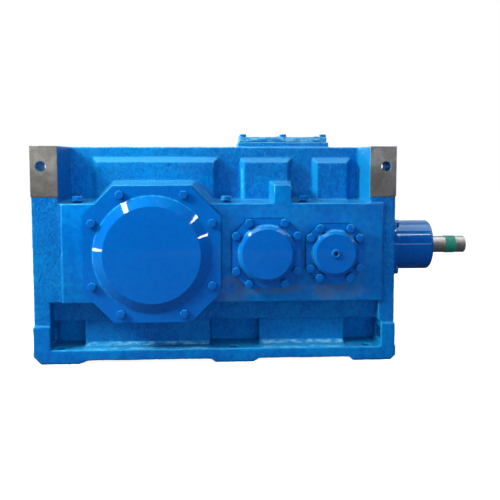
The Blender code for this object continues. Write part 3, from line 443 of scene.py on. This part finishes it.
def piece(name, bm, materials, body, turn=UPRIGHT, origin=(0, 0, 0), sharp=35):
    """Make an object of a mesh built along local Z, turned and moved into place, riding on a body."""
    bm.transform(Matrix.Translation(origin) @ turn)
    bmesh.ops.recalc_face_normals(bm, faces=bm.faces)
    mesh = mesh_of(bm, name)
    mesh.shade_smooth()
    mesh.set_sharp_from_angle(angle=math.radians(sharp))
    thing = bpy.data.objects.new(name, mesh)
    bpy.context.scene.collection.objects.link(thing)
    for material in materials:
        mesh.materials.append(material)
    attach(thing, body)
    return thing


def rounded(points, radii, steps=5):
    """A polyline of 2D points whose corners are replaced by arcs of the given radii (0 keeps a corner)."""
    result = []
    count = len(points)
    for index, (point, radius) in enumerate(zip(points, radii)):
        here = Vector(point)
        if not radius:
            result.append(here)
            continue
        before = (Vector(points[index - 1]) - here).normalized()
        after = (Vector(points[(index + 1) % count]) - here).normalized()
        half = before.angle(after) / 2
        reach = radius / math.tan(half)
        start = here + before * reach
        end = here + after * reach
        middle = here + (before + after).normalized() * (radius / math.sin(half))
        for step in range(steps + 1):
            share = step / steps
            spoke = (start - middle).lerp(end - middle, share)
            result.append(middle + spoke.normalized() * radius)
    return result


def held(profile, closed):
    """The profile with extra points near the ends of its long flanks, so that they are shaded straight."""
    result = []
    for index, point in enumerate(profile):
        here, following = Vector(point), Vector(profile[(index + 1) % len(profile)])
        result.append(here)
        length = (following - here).length
        if length > FLANK and (closed or index < len(profile) - 1):
            share = FLANK_END / length
            result += [here.lerp(following, share), here.lerp(following, 1 - share)]
    return result


def lathe(bm, profile, facets, slot=0, closed=False, origin=(0, 0)):
    """Turn a (radius, height) profile round local Z. Open profiles start and end on the axis."""
    rings = []
    for radius, height in held(profile, closed):
        if radius < 1e-7:
            rings.append([bm.verts.new((origin[0], origin[1], height))])
            continue
        rings.append([
            bm.verts.new((origin[0] + radius * math.cos(2 * math.pi * step / facets),
                          origin[1] + radius * math.sin(2 * math.pi * step / facets), height))
            for step in range(facets)
        ])
    pairs = list(zip(rings, rings[1:]))
    if closed:
        pairs.append((rings[-1], rings[0]))
    for first, second in pairs:
        for step in range(facets):
            following = (step + 1) % facets
            corners = [first[step % len(first)], first[following % len(first)],
                       second[following % len(second)], second[step % len(second)]]
            unique = list(dict.fromkeys(corners))
            if len(unique) > 2:
                bm.faces.new(unique).material_index = slot


def prism(bm, outline, low, high, edge=0.0, steps=3, slot=0):
    """A plate with an outline, its upper rim rounded by edge."""
    bottom = [bm.verts.new((x, y, low)) for x, y in outline]
    top = [bm.verts.new((x, y, high)) for x, y in outline]
    faces = [bm.faces.new(bottom[::-1]), bm.faces.new(top)]
    for index in range(len(outline)):
        following = (index + 1) % len(outline)
        faces.append(bm.faces.new((bottom[index], bottom[following], top[following], top[index])))
    for face in faces:
        face.material_index = slot
    if edge:
        rims = list(faces[1].edges)
        bmesh.ops.bevel(bm, geom=rims, offset=edge, segments=steps, profile=0.5, affect="EDGES",
                        clamp_overlap=True)


def hexagon(radius, turn=0.0):
    angles = [turn + math.pi * step / 3 for step in range(6)]
    return [(radius * math.cos(angle), radius * math.sin(angle)) for angle in angles]


def cut_square(half, corner, radius=0.0):
    """The outline of a square with its corners cut off."""
    flat = half - corner
    points = [(half, -flat), (half, flat), (flat, half), (-flat, half),
              (-half, flat), (-half, -flat), (-flat, -half), (flat, -half)]
    return rounded(points, [radius] * 8) if radius else [Vector(point) for point in points]


def holed_plate(bm, outline, hole, low, high, edge=0.0, slot=0, facets=48):
    """A flat plate with a round hole; hole is (x, y, radius)."""
    hole_x, hole_y, radius = hole
    ring = [(hole_x + radius * math.cos(2 * math.pi * step / facets),
             hole_y + radius * math.sin(2 * math.pi * step / facets)) for step in range(facets)]
    flat = bmesh.new()
    for loop in (outline, ring):
        corners = [flat.verts.new((point[0], point[1], low)) for point in loop]
        for index, corner in enumerate(corners):
            flat.edges.new((corner, corners[(index + 1) % len(corners)]))
    bmesh.ops.triangle_fill(flat, use_beauty=True, edges=flat.edges[:])
    raised = bmesh.ops.extrude_face_region(flat, geom=flat.faces[:])["geom"]
    top = [part for part in raised if isinstance(part, bmesh.types.BMVert)]
    bmesh.ops.translate(flat, verts=top, vec=(0, 0, high - low))
    bmesh.ops.recalc_face_normals(flat, faces=flat.faces)
    if edge:
        above = (low + high) / 2
        rims = [side for side in flat.edges
                if side.calc_face_angle(0) > 1.0 and all(corner.co.z > above for corner in side.verts)]
        bmesh.ops.bevel(flat, geom=rims, offset=edge, segments=2, profile=0.5, affect="EDGES")
    for face in flat.faces:
        face.material_index = slot
    mesh = mesh_of(flat, "plate")
    bm.from_mesh(mesh)


def bolt(bm, x, y, base, head_radius, head_height, shank_radius, shank_length, slot=0):
    """A painted hexagon bolt: chamfered head on a washer face, each turned by chance."""
    turn = chance.uniform(0, math.pi / 3)
    before = len(bm.verts)
    washer = head_radius * 0.93
    outline = rounded(hexagon(head_radius, turn), [head_radius * 0.14] * 6, 2)
    prism(bm, outline, base + 0.001, base + head_height, head_height * 0.17, 3, slot)
    lathe(bm, [(0, base + 0.0016), (washer, base + 0.0016), (washer + 0.0004, base + 0.001),
               (washer + 0.0004, base), (shank_radius, base), (shank_radius, base - shank_length),
               (0, base - shank_length)], 24, slot)
    bm.verts.ensure_lookup_table()
    bmesh.ops.translate(bm, verts=bm.verts[before:], vec=(x, y, 0))


# ------------------------------------------------------------------ housing
def flatten_split(bm, height):
    """Close the saw cut of a housing half at the shaft axes, and open its flat face there."""
    on_cut = set()
    for vertex in bm.verts:
        if abs(vertex.co.z - height) < 0.0002:
            vertex.co.z = AXIS_Z
            on_cut.add(vertex)
    inside = [face for face in bm.faces if all(vertex in on_cut for vertex in face.verts)]
    bmesh.ops.delete(bm, geom=inside, context="FACES_ONLY")


def evaluated(thing):
    graph = bpy.context.evaluated_depsgraph_get()
    return bpy.data.meshes.new_from_object(thing.evaluated_get(graph), depsgraph=graph)


def add_modifier(thing, kind, **settings):
    modifier = thing.modifiers.new(kind.lower(), kind)
    for key, value in settings.items():
        setattr(modifier, key, value)
    return modifier


def machined(point):
    """True on the faces that are milled flat after casting, so that their edges stay crisp."""
    depth = abs(point.y)
    on_pad = depth > 0.2032 and PAD_Z[0] - 0.060 < point.z < PAD_Z[1] + 0.060
    return on_pad or (depth > 0.1985 and on_lug(point))


def on_lug(point):
    return abs(point.x - HOUSING_X) > LUG_INNER and point.z > LUG_BASE_Z - 0.003


def cast_housing():
    """Both halves as one dense skin with rounded edges, fillets and uneven paint, cut at the shaft axes."""
    bm = bmesh.new()
    for name, side in HALVES:
        half = bmesh.new()
        half.from_mesh(NODES[name].data)
        flatten_split(half, AXIS_Z + side * SPLIT_GAP / 2)
        mesh = mesh_of(half, name + "_open")
        bm.from_mesh(mesh)
    bmesh.ops.remove_doubles(bm, verts=bm.verts, dist=0.00002)
    mesh = mesh_of(bm, "housing_skin")

    skin = bpy.data.objects.new("housing_skin", mesh)
    bpy.context.scene.collection.objects.link(skin)
    add_modifier(skin, "REMESH", mode="VOXEL", voxel_size=VOXEL)
    add_modifier(skin, "SMOOTH", factor=0.5, iterations=1)
    skin.data = evaluated(skin)
    skin.modifiers.clear()

    as_cast = skin.vertex_groups.new(name="as_cast")
    rough = [vertex.index for vertex in skin.data.vertices if not machined(vertex.co)]
    as_cast.add(rough, 1.0, "REPLACE")
    add_modifier(skin, "SMOOTH", factor=0.5, iterations=2, vertex_group="as_cast")
    waves = bpy.data.textures.new("waves", "CLOUDS")
    waves.noise_scale = 0.045
    waves.noise_depth = 2
    add_modifier(skin, "DISPLACE", texture=waves, texture_coords="LOCAL", strength=0.0022,
                 mid_level=0.5, vertex_group="as_cast")
    lumps = bpy.data.textures.new("lumps", "CLOUDS")
    lumps.noise_scale = 0.012
    lumps.noise_depth = 1
    add_modifier(skin, "DISPLACE", texture=lumps, texture_coords="LOCAL", strength=0.0012,
                 mid_level=0.5, vertex_group="as_cast")
    faces = len(skin.data.polygons) * 2
    add_modifier(skin, "DECIMATE", ratio=min(1.0, HOUSING_FACES / faces))
    finished = evaluated(skin)
    bpy.data.objects.remove(skin)

    for name, side in HALVES:
        above = side > 0
        half = bmesh.new()
        half.from_mesh(finished)
        result = bmesh.ops.bisect_plane(
            half, geom=half.verts[:] + half.edges[:] + half.faces[:],
            plane_co=(0, 0, AXIS_Z + side * SPLIT_GAP / 2), plane_no=(0, 0, 1),
            clear_inner=above, clear_outer=not above,
        )
        rim = [edge for edge in result["geom_cut"] if isinstance(edge, bmesh.types.BMEdge)]
        bmesh.ops.triangle_fill(half, use_beauty=True, edges=rim)
        bmesh.ops.recalc_face_normals(half, faces=half.faces)
        for edge in rim:
            if edge.is_valid:
                edge.smooth = False
        for face in half.faces:
            face.smooth = True
            middle = face.calc_center_median()
            bare = abs(middle.y) > 0.1995 and on_lug(middle) and abs(face.normal.y) > 0.8
            face.material_index = 1 if bare else 0
        if above:
            lug_faces(half)
        mesh = mesh_of(half, name + "_casting")
        mesh.materials.append(CAST_PAINT)
        mesh.materials.append(IRON)
        thing = bpy.data.objects.new(name + "_casting", mesh)
        bpy.context.scene.collection.objects.link(thing)
        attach(thing, "housing")
        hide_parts(name)


def lug_faces(bm):
    """The four milled faces of the lifting lugs, crisp beside the rough casting."""
    for side, turn in ((-1, ALONG_MINUS_Y), (1, ALONG_Y)):
        for end in (-1, 1):
            inner = HOUSING_X + end * LUG_INNER
            outer = HOUSING_X + end * (HALF_LENGTH + 0.0015)
            heights = [-side * LUG_BASE_Z, -side * (TOP_Z - 0.0002)]
            outline = [(inner, heights[0]), (outer, heights[0]), (outer, heights[1]), (inner, heights[1])]
            face = bmesh.new()
            hole = (HOUSING_X + end * LUG_HOLE_X, -side * LUG_HOLE_Z, LUG_HOLE_RADIUS)
            holed_plate(face, outline, hole, 0.1985, 0.2019, 0.0007, slot=1)
            face.transform(turn)
            mesh = mesh_of(face, "lug_face")
            bm.from_mesh(mesh)


# ------------------------------------------------------------------ covers
def bolt_places(radius, spread):
    angles = [math.radians(45 + 90 * corner + sign * spread) for corner in range(4) for sign in (-1, 1)]
    return [(radius * math.cos(angle), radius * math.sin(angle)) for angle in angles]


def bearing_cover(name, x, side, half, corner, plate_top, cap, spigot, bolt_radius, spread,
                  bore=0.0, shoulder_drop=0.0):
    """A cover with its raised cap, and its gasket with eight bolts. cap is (foot, face radius, height)."""
    turn = ALONG_MINUS_Y if side < 0 else ALONG_Y
    origin = (x, side * PAD_Y, AXIS_Z)
    foot, face, height = cap
    bm = bmesh.new()
    if bore:
        holed_plate(bm, cut_square(half, corner, 0.004), (0, 0, bore + 0.004), 0.0016, plate_top, 0.0026,
                    facets=ROUND)
        points = [(bore, height), (face, height), (foot, plate_top + 0.0004),
                  (foot + 0.005, plate_top - 0.004), (spigot, plate_top - 0.006), (spigot, -0.0022),
                  (bore, -0.0022)]
        lathe(bm, rounded(points, [0.001, 0.0028, 0.004, 0, 0, 0.001, 0.001]), ROUND, closed=True)
    else:
        prism(bm, cut_square(half, corner, 0.004), 0.0016, plate_top, 0.0028)
        shoulder = [(foot - 0.0015, height - shoulder_drop)] if shoulder_drop else []
        points = [(0, height + 0.0004), (face, height), *shoulder, (foot, plate_top + 0.0004),
                  (foot + 0.007, plate_top - 0.0003), (foot + 0.004, plate_top - 0.004),
                  (spigot, plate_top - 0.006), (spigot, -0.0022), (0, -0.0022)]
        radii = [0, 0.0022, *([0.002] * len(shoulder)), 0.003, 0, 0, 0, 0.001, 0]
        lathe(bm, rounded(points, radii), ROUND)
    cover = piece(name + "_painted", bm, [COVER_PAINT], "housing", turn, origin, 50)
    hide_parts(name)

    bm = bmesh.new()
    holed_plate(bm, cut_square(half - 0.003, corner), (0, 0, spigot + 0.006), 0.0003, 0.0014, slot=1)
    shank = 0.024 if plate_top > 0.02 else 0.015
    for bolt_x, bolt_y in bolt_places(bolt_radius, spread):
        bolt(bm, bolt_x, bolt_y, plate_top + 0.0003, 0.0138, 0.010, 0.0082, shank)
    bolts = piece(name + "_fixings", bm, [COVER_PAINT, GASKET_PAPER], "housing", turn,
                  origin, 40)
    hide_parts(name + "_bolts")


def covers():
    for side, side_name in SIDES:
        bearing_cover(f"output_cover_{side_name}", OUTPUT_X, side, 0.202, 0.0875, OUTPUT_PLATE,
                      OUTPUT_CAP, 0.1430, 0.1997, 17.2, 0.0 if side < 0 else 0.0973)
        bearing_cover(f"middle_cover_{side_name}", MIDDLE_X, side, 0.1037, 0.048, 0.018,
                      (0.086, 0.0745, 0.040), 0.0832, 0.106, 14.8, shoulder_drop=0.0065)
        bearing_cover(f"first_cover_{side_name}", FIRST_X, side, 0.0875, 0.0415, 0.016,
                      (0.070, 0.059, 0.035), 0.0685, 0.0875, 13.2, shoulder_drop=0.0065)
    bm = bmesh.new()
    lathe(bm, rounded([(0.0052, 0.0353), (0.0145, 0.0353), (0.0125, 0.0402), (0.0072, 0.0405)],
                      [0, 0.0008, 0.0015, 0.001]), 48, closed=True)
    lathe(bm, [(0, 0.0366), (0.0058, 0.0366), (0.0058, 0.0353), (0, 0.0353)], 24, slot=1)
    plug = piece("first_cover_plug_painted", bm, [COVER_PAINT, RUBBER], "housing",
                 ALONG_MINUS_Y, (FIRST_X, -PAD_Y, AXIS_Z), 40)
    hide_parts("first_cover_plug")
    bm = bmesh.new()
    lathe(bm, rounded([(0.0792, 0.041), (0.0820, 0.043), (0.0955, 0.043), (0.0955, 0.028), (0.0792, 0.028)],
                      [0.0005, 0.001, 0.001, 0, 0]), ROUND, closed=True)
    seal = piece("output_seal_lip", bm, [RUBBER], "housing", ALONG_Y,
                 (OUTPUT_X, PAD_Y, AXIS_Z), 40)
    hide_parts("output_seal")


def split_bolts():
    for side, side_name in SIDES:
        for number, x in enumerate(SPLIT_BOLTS_X, start=1):
            bm = bmesh.new()
            bolt(bm, 0, 0, 0, 0.0173, 0.013, 0.0095, 0.245)
            name = f"split_bolt_{side_name}_{number}"
            thing = piece(name + "_painted", bm, [COVER_PAINT], "housing", UPRIGHT,
                          (x, side * SPLIT_BOLT_Y, SPLIT_BOLT_Z), 40)
            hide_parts(name)


# ------------------------------------------------------------------ input neck and shafts
def input_neck():
    low_x, flange_x = QUILL_FLANGE_X[0] + 0.0003, QUILL_FLANGE_X[1]
    points = [(0.070, 0.420), (0.070, 0.638), (0.0455, 0.638), (0.0455, QUILL_END_X),
              (QUILL_RADIUS, QUILL_END_X), (QUILL_RADIUS, flange_x), (0.119, flange_x), (0.119, low_x),
              (0.0865, low_x), (0.0865, 0.420)]
    radii = [0, 0, 0, 0.0015, 0.010, 0.004, 0.002, 0.001, 0, 0]
    bm = bmesh.new()
    lathe(bm, rounded(points, radii, 7), ROUND, closed=True)
    neck = piece("input_quill_painted", bm, [COVER_PAINT], "housing", ALONG_X,
                 (0, 0, AXIS_Z), 50)
    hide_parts("input_quill")
    for number in range(1, 5):
        angle = math.radians(45 + 90 * (number - 1))
        bm = bmesh.new()
        bolt(bm, NECK_BOLTS_RADIUS * math.cos(angle), NECK_BOLTS_RADIUS * math.sin(angle),
             flange_x + 0.0003, 0.0138, 0.010, 0.0082, 0.030)
        thing = piece(f"quill_bolt_{number}_painted", bm, [COVER_PAINT], "housing",
                      ALONG_X, (0, 0, AXIS_Z), 40)
        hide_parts(f"quill_bolt_{number}")
    bm = bmesh.new()
    lathe(bm, rounded([(0.0312, 0.640), (0.0445, 0.640), (0.0445, 0.650), (0.0330, 0.650), (0.0312, 0.648)],
                      [0, 0, 0.001, 0.001, 0.0005]), 64, closed=True)
    seal = piece("input_seal_lip", bm, [RUBBER], "housing", ALONG_X, (0, 0, AXIS_Z), 40)
    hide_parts("input_seal")


def shaft_end(name, node, body, profile, turn, origin, cut_at, keyway, material):
    """The CAD shaft inside the housing, with a finely turned end and keyway outside it."""
    bm = bmesh.new()
    lathe(bm, profile, ROUND)
    end = piece(name + "_end", bm, [material], body, turn, origin)
    cutter_mesh = bmesh.new()
    low, high = keyway
    middle = (Vector(low) + Vector(high)) / 2
    size = Vector(high) - Vector(low)
    bmesh.ops.create_cube(cutter_mesh, size=1,
                          matrix=Matrix.Translation(middle) @ Matrix.Diagonal((*size, 1)))
    cutter = piece("keyway_cutter", cutter_mesh, [material], body)
    add_modifier(end, "BOOLEAN", operation="DIFFERENCE", solver="EXACT", object=cutter)
    bm = bmesh.new()
    bm.from_mesh(evaluated(end))
    bmesh.ops.transform(bm, matrix=end.matrix_world, verts=bm.verts)
    bpy.data.objects.remove(end)
    bpy.data.objects.remove(cutter)

    inner = bmesh.new()
    inner.from_mesh(NODES[node].data)
    bmesh.ops.remove_doubles(inner, verts=inner.verts, dist=0.00002)
    point, normal = cut_at
    result = bmesh.ops.bisect_plane(inner, geom=inner.verts[:] + inner.edges[:] + inner.faces[:],
                                    plane_co=point, plane_no=normal, clear_outer=True)
    rim = [edge for edge in result["geom_cut"] if isinstance(edge, bmesh.types.BMEdge)]
    bmesh.ops.triangle_fill(inner, use_beauty=True, edges=rim)
    mesh = mesh_of(inner, name + "_inner")
    bm.from_mesh(mesh)
    for face in bm.faces:
        face.material_index = 0
    thing = piece(name, bm, [material], body, sharp=32)
    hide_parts(node)


def shafts():
    radius = INPUT_END_RADIUS
    profile = rounded([(0, 0.300), (0.0300, 0.300), (0.0300, 0.3525), (radius, 0.3525),
                       (radius, INPUT_END_X - FIRST_X), (0, INPUT_END_X - FIRST_X)],
                      [0, 0.0005, 0.001, 0.0008, 0.0032, 0], 4)
    shaft_end("input_shaft_turned", "input_shaft", "input_shaft_group", profile, ALONG_X,
              (FIRST_X, 0, AXIS_Z), ((0.632, 0, 0), (1, 0, 0)),
              ((0.664, -0.008, AXIS_Z + radius - 0.006), (0.768, 0.008, AXIS_Z + 0.05)),
              SHAFT_STEEL)
    radius = OUTPUT_END_RADIUS
    profile = rounded([(0, 0.210), (0.0775, 0.210), (0.0775, 0.2525), (radius, 0.2525),
                       (radius, OUTPUT_END_Y), (0, OUTPUT_END_Y)],
                      [0, 0.0005, 0.0015, 0.001, 0.0035, 0], 4)
    shaft_end("output_shaft_turned", "output_shaft", "output_shaft_group", profile, ALONG_Y,
              (OUTPUT_X, 0, AXIS_Z), ((0, 0.225, 0), (0, 1, 0)),
              ((OUTPUT_X - 0.018, 0.265, AXIS_Z + radius - 0.012),
               (OUTPUT_X + 0.018, 0.475, AXIS_Z + 0.12)),
              OUTPUT_STEEL)
    bm = bmesh.new()
    inner, outer = INPUT_END_RADIUS + 0.0002, INPUT_END_RADIUS + 0.0011
    lathe(bm, rounded([(inner, 0.4055), (outer, 0.4055), (outer, 0.4395), (inner, 0.4395)],
                      [0, 0.0004, 0.0004, 0]), 96, closed=True)
    wound = piece("shaft_tape_band", bm, [TAPE], "input_shaft_group", ALONG_X,
                  (FIRST_X, 0, AXIS_Z), 40)
    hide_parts("shaft_tape")


# ------------------------------------------------------------------ top cover and fittings
def inspection_cover():
    bm = bmesh.new()
    low_x, high_x, half_y = 0.018, 0.296, 0.086
    outline = rounded([(low_x, -half_y), (high_x, -half_y), (high_x, half_y), (low_x, half_y)], [0.006] * 4)
    prism(bm, outline, 0.6729, 0.687, 0.0050, 4)
    bmesh.ops.triangulate(bm, faces=[face for face in bm.faces if len(face.verts) > 4])
    cover = piece("inspection_cover_painted", bm, [CAST_PAINT], "housing", sharp=50)
    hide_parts("inspection_cover")
    bm = bmesh.new()
    outline = rounded([(0.0205, -0.0835), (0.2935, -0.0835), (0.2935, 0.0835), (0.0205, 0.0835)],
                      [0.004] * 4)
    prism(bm, outline, 0.6713, 0.6727, slot=1)
    for x in (0.030, 0.157, 0.284):
        for y in (-0.074, 0.074):
            bolt(bm, x, y, 0.6873, 0.011, 0.0085, 0.0062, 0.014)
    bolts = piece("inspection_cover_fixings", bm, [COVER_PAINT, GASKET_PAPER], "housing",
                  sharp=40)
    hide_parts("inspection_cover_bolts")


def fittings():
    bm = bmesh.new()
    head = rounded(hexagon(0.0172), [0.002] * 6, 2)
    prism(bm, head, 0.0022, 0.012, 0.0016)
    lathe(bm, [(0, 0.0026), (0.0165, 0.0026), (0.0168, 0.0020), (0.0168, 0.0003), (0.0125, 0.0003),
               (0.0125, -0.018), (0, -0.018)], 32)
    drain = piece("drain_plug_plated", bm, [PLATED_STEEL], "housing", ALONG_MINUS_X,
                  DRAIN, 35)
    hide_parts("drain_plug")

    bm = bmesh.new()
    prism(bm, head, 0.0003, 0.014, 0.0012)
    lathe(bm, rounded([(0, 0.052), (0.0185, 0.052), (0.0185, 0.022), (0.0122, 0.018), (0.0122, -0.012),
                       (0, -0.012)], [0, 0.006, 0.002, 0.001, 0, 0]), 48)
    for step in range(6):
        height = 0.026 + 0.0035 * step
        lathe(bm, [(0.0183, height), (0.0190, height + 0.0006), (0.0190, height + 0.0018),
                   (0.0183, height + 0.0024)], 48, closed=True)
    breather = piece("breather_plated", bm, [PLATED_STEEL], "housing", ALONG_MINUS_X,
                     BREATHER, 35)
    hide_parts("breather")

    bm = bmesh.new()
    lathe(bm, rounded([(0.019, 0.006), (0.021, 0.009), (0.029, 0.009), (0.029, 0.0003), (0.0215, 0.0003),
                       (0.0215, -0.030), (0.019, -0.030)], [0, 0.0008, 0.0012, 0, 0, 0, 0]), 64, closed=True)
    lathe(bm, [(0, 0.0066), (0.010, 0.0064), (0.0192, 0.0060), (0.0192, -0.029), (0, -0.029)], 48, slot=1)
    glass = piece("oil_sight_glass_fitted", bm, [BRASS, OIL], "housing", ALONG_Y,
                  SIGHT_GLASS, 35)
    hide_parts("oil_sight_glass")


def carried_over():
    """Gears, keys and bearings stay as the CAD made them; each gets its steel."""
    for name, node in NODES.items():
        if node.hide_render:
            continue
        steel = BEARING_STEEL if "bearing" in name else GEAR_STEEL
        if name.endswith("key"):
            steel = PLATED_STEEL
        node.data.materials.clear()
        node.data.materials.append(steel)


# ------------------------------------------------------------------ studio
CAMERA = (-0.0411, -2.2078, 0.5932)
CAMERA_TURN, CAMERA_TILT = -0.0534, -0.0778          # to the right of +Y, and downwards, in radians
LENS, LENS_SHIFT = 48.2, (-0.0126, -0.062)
WHITE = (1.0, 1.0, 1.0)
# Name, direction from the housing, distance, size, power, whether it leaves no reflection, colour.
LAMPS = (
    ("key", (-0.80, -0.34, 0.50), 2.3, (0.6, 0.6), 84, True, (1.0, 1.0, 0.86)),
    ("overhead", (-0.20, -0.45, 0.87), 2.4, (1.8, 0.7), 25, True, WHITE),
    ("front_fill", (0.12, -0.99, -0.03), 3.0, (1.8, 0.5), 26, True, (0.74, 0.79, 1.0)),
    ("behind", (-0.55, 0.57, 0.60), 3.2, (0.8, 0.5), 30, False, WHITE),
    ("right_end", (0.90, 0.42, 0.12), 3.0, (0.8, 0.5), 22, True, WHITE),
)
ROOF_ROWS = ((57.0, 2.5, 2.0), (92.0, 20.0, 2.4))    # degrees up from the front, half width, level
# Mirrored in the large cover's cone: angle round the cover in degrees, size, power.
WINDOWS = ((117.5, (0.18, 0.40), 8), (174.0, (0.30, 0.12), 2.6), (41.0, (0.12, 0.20), 2.0),
           (20.0, (0.20, 0.09), 1.6))
# Mirrored in the neck: sine of the height on it, thickness, brightness.
NECK_LINES = ((0.48, 0.15, 18), (0.12, 0.12, 4.0), (-0.01, 0.10, 3.0))
NECK_CARD_WIDTH = 0.45
NECK_LINES_X = 0.59


def studio():
    scene = bpy.context.scene
    scene.view_settings.view_transform = "Standard"

    floor_mesh = bmesh.new()
    bmesh.ops.create_grid(floor_mesh, x_segments=8, y_segments=8, size=14)
    mesh = mesh_of(floor_mesh, "floor")
    floor = bpy.data.objects.new("floor", mesh)
    floor.location = (0, 0, -0.0005)
    scene.collection.objects.link(floor)
    nodes = Nodes("pale_floor")
    seen = nodes.make("ShaderNodeLightPath").outputs["Is Camera Ray"]
    shade = nodes.mix(seen, (0.05, 0.05, 0.05), (0.34, 0.34, 0.34))
    nodes.set(Base_Color=shade, Roughness=0.9, Specular_IOR_Level=0.0,
              Emission_Color=(1.0, 1.0, 1.0), Emission_Strength=nodes.math("MULTIPLY", seen, 0.95))
    mesh.materials.append(nodes.material)

    world = bpy.data.worlds.new("studio")
    scene.world = world
    world.use_nodes = True
    tree = world.node_tree
    tree.nodes.clear()
    output = tree.nodes.new("ShaderNodeOutputWorld")
    path = tree.nodes.new("ShaderNodeLightPath")
    ambient = glow(tree, (-0.45, -0.25, 0.86), (-0.60, 0.95, 0.05, 0.42))
    mirrored = tree.nodes.new("ShaderNodeAddShader")
    tree.links.new(glow(tree, (-0.25, 0.90, 0.35), (0.20, 0.95, 0.012, 1.10)), mirrored.inputs[0])
    tree.links.new(roof_lights(tree), mirrored.inputs[1])
    white = tree.nodes.new("ShaderNodeBackground")
    white.inputs["Color"].default_value = (1.0, 1.0, 1.0, 1.0)
    lit = tree.nodes.new("ShaderNodeMixShader")
    tree.links.new(path.outputs["Is Glossy Ray"], lit.inputs[0])
    tree.links.new(ambient, lit.inputs[1])
    tree.links.new(mirrored.outputs[0], lit.inputs[2])
    shown = tree.nodes.new("ShaderNodeMixShader")
    tree.links.new(path.outputs["Is Camera Ray"], shown.inputs[0])
    tree.links.new(lit.outputs[0], shown.inputs[1])
    tree.links.new(white.outputs[0], shown.inputs[2])
    tree.links.new(shown.outputs[0], output.inputs[0])

    for name, direction, distance, size, power, matte, colour in LAMPS:
        softbox(name, direction, distance, size, power, matte).data.color = colour
    foot, face, height = OUTPUT_CAP
    slope = math.atan2(height - OUTPUT_PLATE, foot - face)
    for number, (clock, size, power) in enumerate(WINDOWS, start=1):
        outward = Vector((math.cos(math.radians(clock)), 0, math.sin(math.radians(clock))))
        middle = Vector((OUTPUT_X, -PAD_Y - (height + OUTPUT_PLATE) / 2, AXIS_Z))
        normal = outward * math.sin(slope) - Vector((0, math.cos(slope), 0))
        mirrored_lamp(f"window_{number}", middle + outward * (foot + face) / 2, normal, size, power)
    for number, (rise, thickness, brightness) in enumerate(NECK_LINES, start=1):
        normal = Vector((0, -math.sqrt(1 - rise * rise), rise))
        place = Vector((NECK_LINES_X, 0, AXIS_Z)) + normal * QUILL_RADIUS
        power = brightness * math.pi * NECK_CARD_WIDTH * thickness
        mirrored_lamp(f"neck_line_{number}", place, normal, (NECK_CARD_WIDTH, thickness), power)


def mirrored_lamp(name, place, normal, size, power):
    """A lamp that the camera sees mirrored at one place in the paint. It shows only in reflections."""
    sight = (place - Vector(CAMERA)).normalized()
    lamp = softbox(name, sight.reflect(normal), 2.8, size, power, start=place)
    lamp.visible_diffuse = False


def roof_lights(tree):
    """Long rows of lamps along X under the roof, seen only as reflections in the paint."""
    coordinates = tree.nodes.new("ShaderNodeTexCoord")
    axes = tree.nodes.new("ShaderNodeSeparateXYZ")
    tree.links.new(coordinates.outputs["Generated"], axes.inputs[0])

    def step(operation, first, second=0.0):
        node = tree.nodes.new("ShaderNodeMath")
        node.operation = operation
        for socket, value in zip(node.inputs, (first, second)):
            if isinstance(value, bpy.types.NodeSocket):
                tree.links.new(value, socket)
            else:
                socket.default_value = value
        return node.outputs[0]

    elevation = step("ARCTAN2", axes.outputs[2], step("MULTIPLY", axes.outputs[1], -1.0))
    strength = 0.0
    for middle, half, level in ROOF_ROWS:
        row = step("COMPARE", elevation, math.radians(middle))
        row.node.inputs[2].default_value = math.radians(half)
        strength = step("ADD", strength, step("MULTIPLY", row, level))
    roof = tree.nodes.new("ShaderNodeBackground")
    roof.inputs["Color"].default_value = (0.95, 0.98, 1.0, 1.0)
    tree.links.new(strength, roof.inputs["Strength"])
    return roof.outputs[0]


def glow(tree, direction, spread):
    """A background that is brighter towards a direction; spread is (from, to, low, high)."""
    coordinates = tree.nodes.new("ShaderNodeTexCoord")
    towards = tree.nodes.new("ShaderNodeVectorMath")
    towards.operation = "DOT_PRODUCT"
    towards.inputs[1].default_value = Vector(direction).normalized()
    tree.links.new(coordinates.outputs["Generated"], towards.inputs[0])
    level = tree.nodes.new("ShaderNodeMapRange")
    level.interpolation_type = "SMOOTHSTEP"
    for socket, value in zip(list(level.inputs)[1:5], spread):
        socket.default_value = value
    tree.links.new(towards.outputs["Value"], level.inputs[0])
    sky = tree.nodes.new("ShaderNodeBackground")
    sky.inputs["Color"].default_value = (0.62, 0.75, 1.0, 1.0)
    tree.links.new(level.outputs[0], sky.inputs["Strength"])
    return sky.outputs[0]


def softbox(name, direction, distance, size, power, matte=False, start=(HOUSING_X, 0, AXIS_Z)):
    """A rectangular lamp aimed back at start; a matte one leaves no reflection."""
    light = bpy.data.lights.new(name, "AREA")
    light.shape = "RECTANGLE"
    light.size, light.size_y = size
    light.energy = power
    lamp = bpy.data.objects.new(name, light)
    aim = Vector(start)
    lamp.location = aim + Vector(direction).normalized() * distance
    lamp.rotation_euler = (aim - lamp.location).to_track_quat("-Z", "Y").to_euler()
    lamp.visible_glossy = not matte
    lamp.visible_camera = False
    bpy.context.scene.collection.objects.link(lamp)
    return lamp


def camera():
    data = bpy.data.cameras.new("camera")
    data.lens = LENS
    data.sensor_width = 36
    data.shift_x, data.shift_y = LENS_SHIFT
    thing = bpy.data.objects.new("camera", data)
    thing.matrix_world = (Matrix.Translation(CAMERA) @ Matrix.Rotation(CAMERA_TURN, 4, "Z")
                          @ Matrix.Rotation(math.pi / 2 + CAMERA_TILT, 4, "X"))
    bpy.context.scene.collection.objects.link(thing)
    bpy.context.scene.camera = thing


cast_housing()
covers()
split_bolts()
input_neck()
shafts()
inspection_cover()
fittings()
carried_over()
studio()
camera()
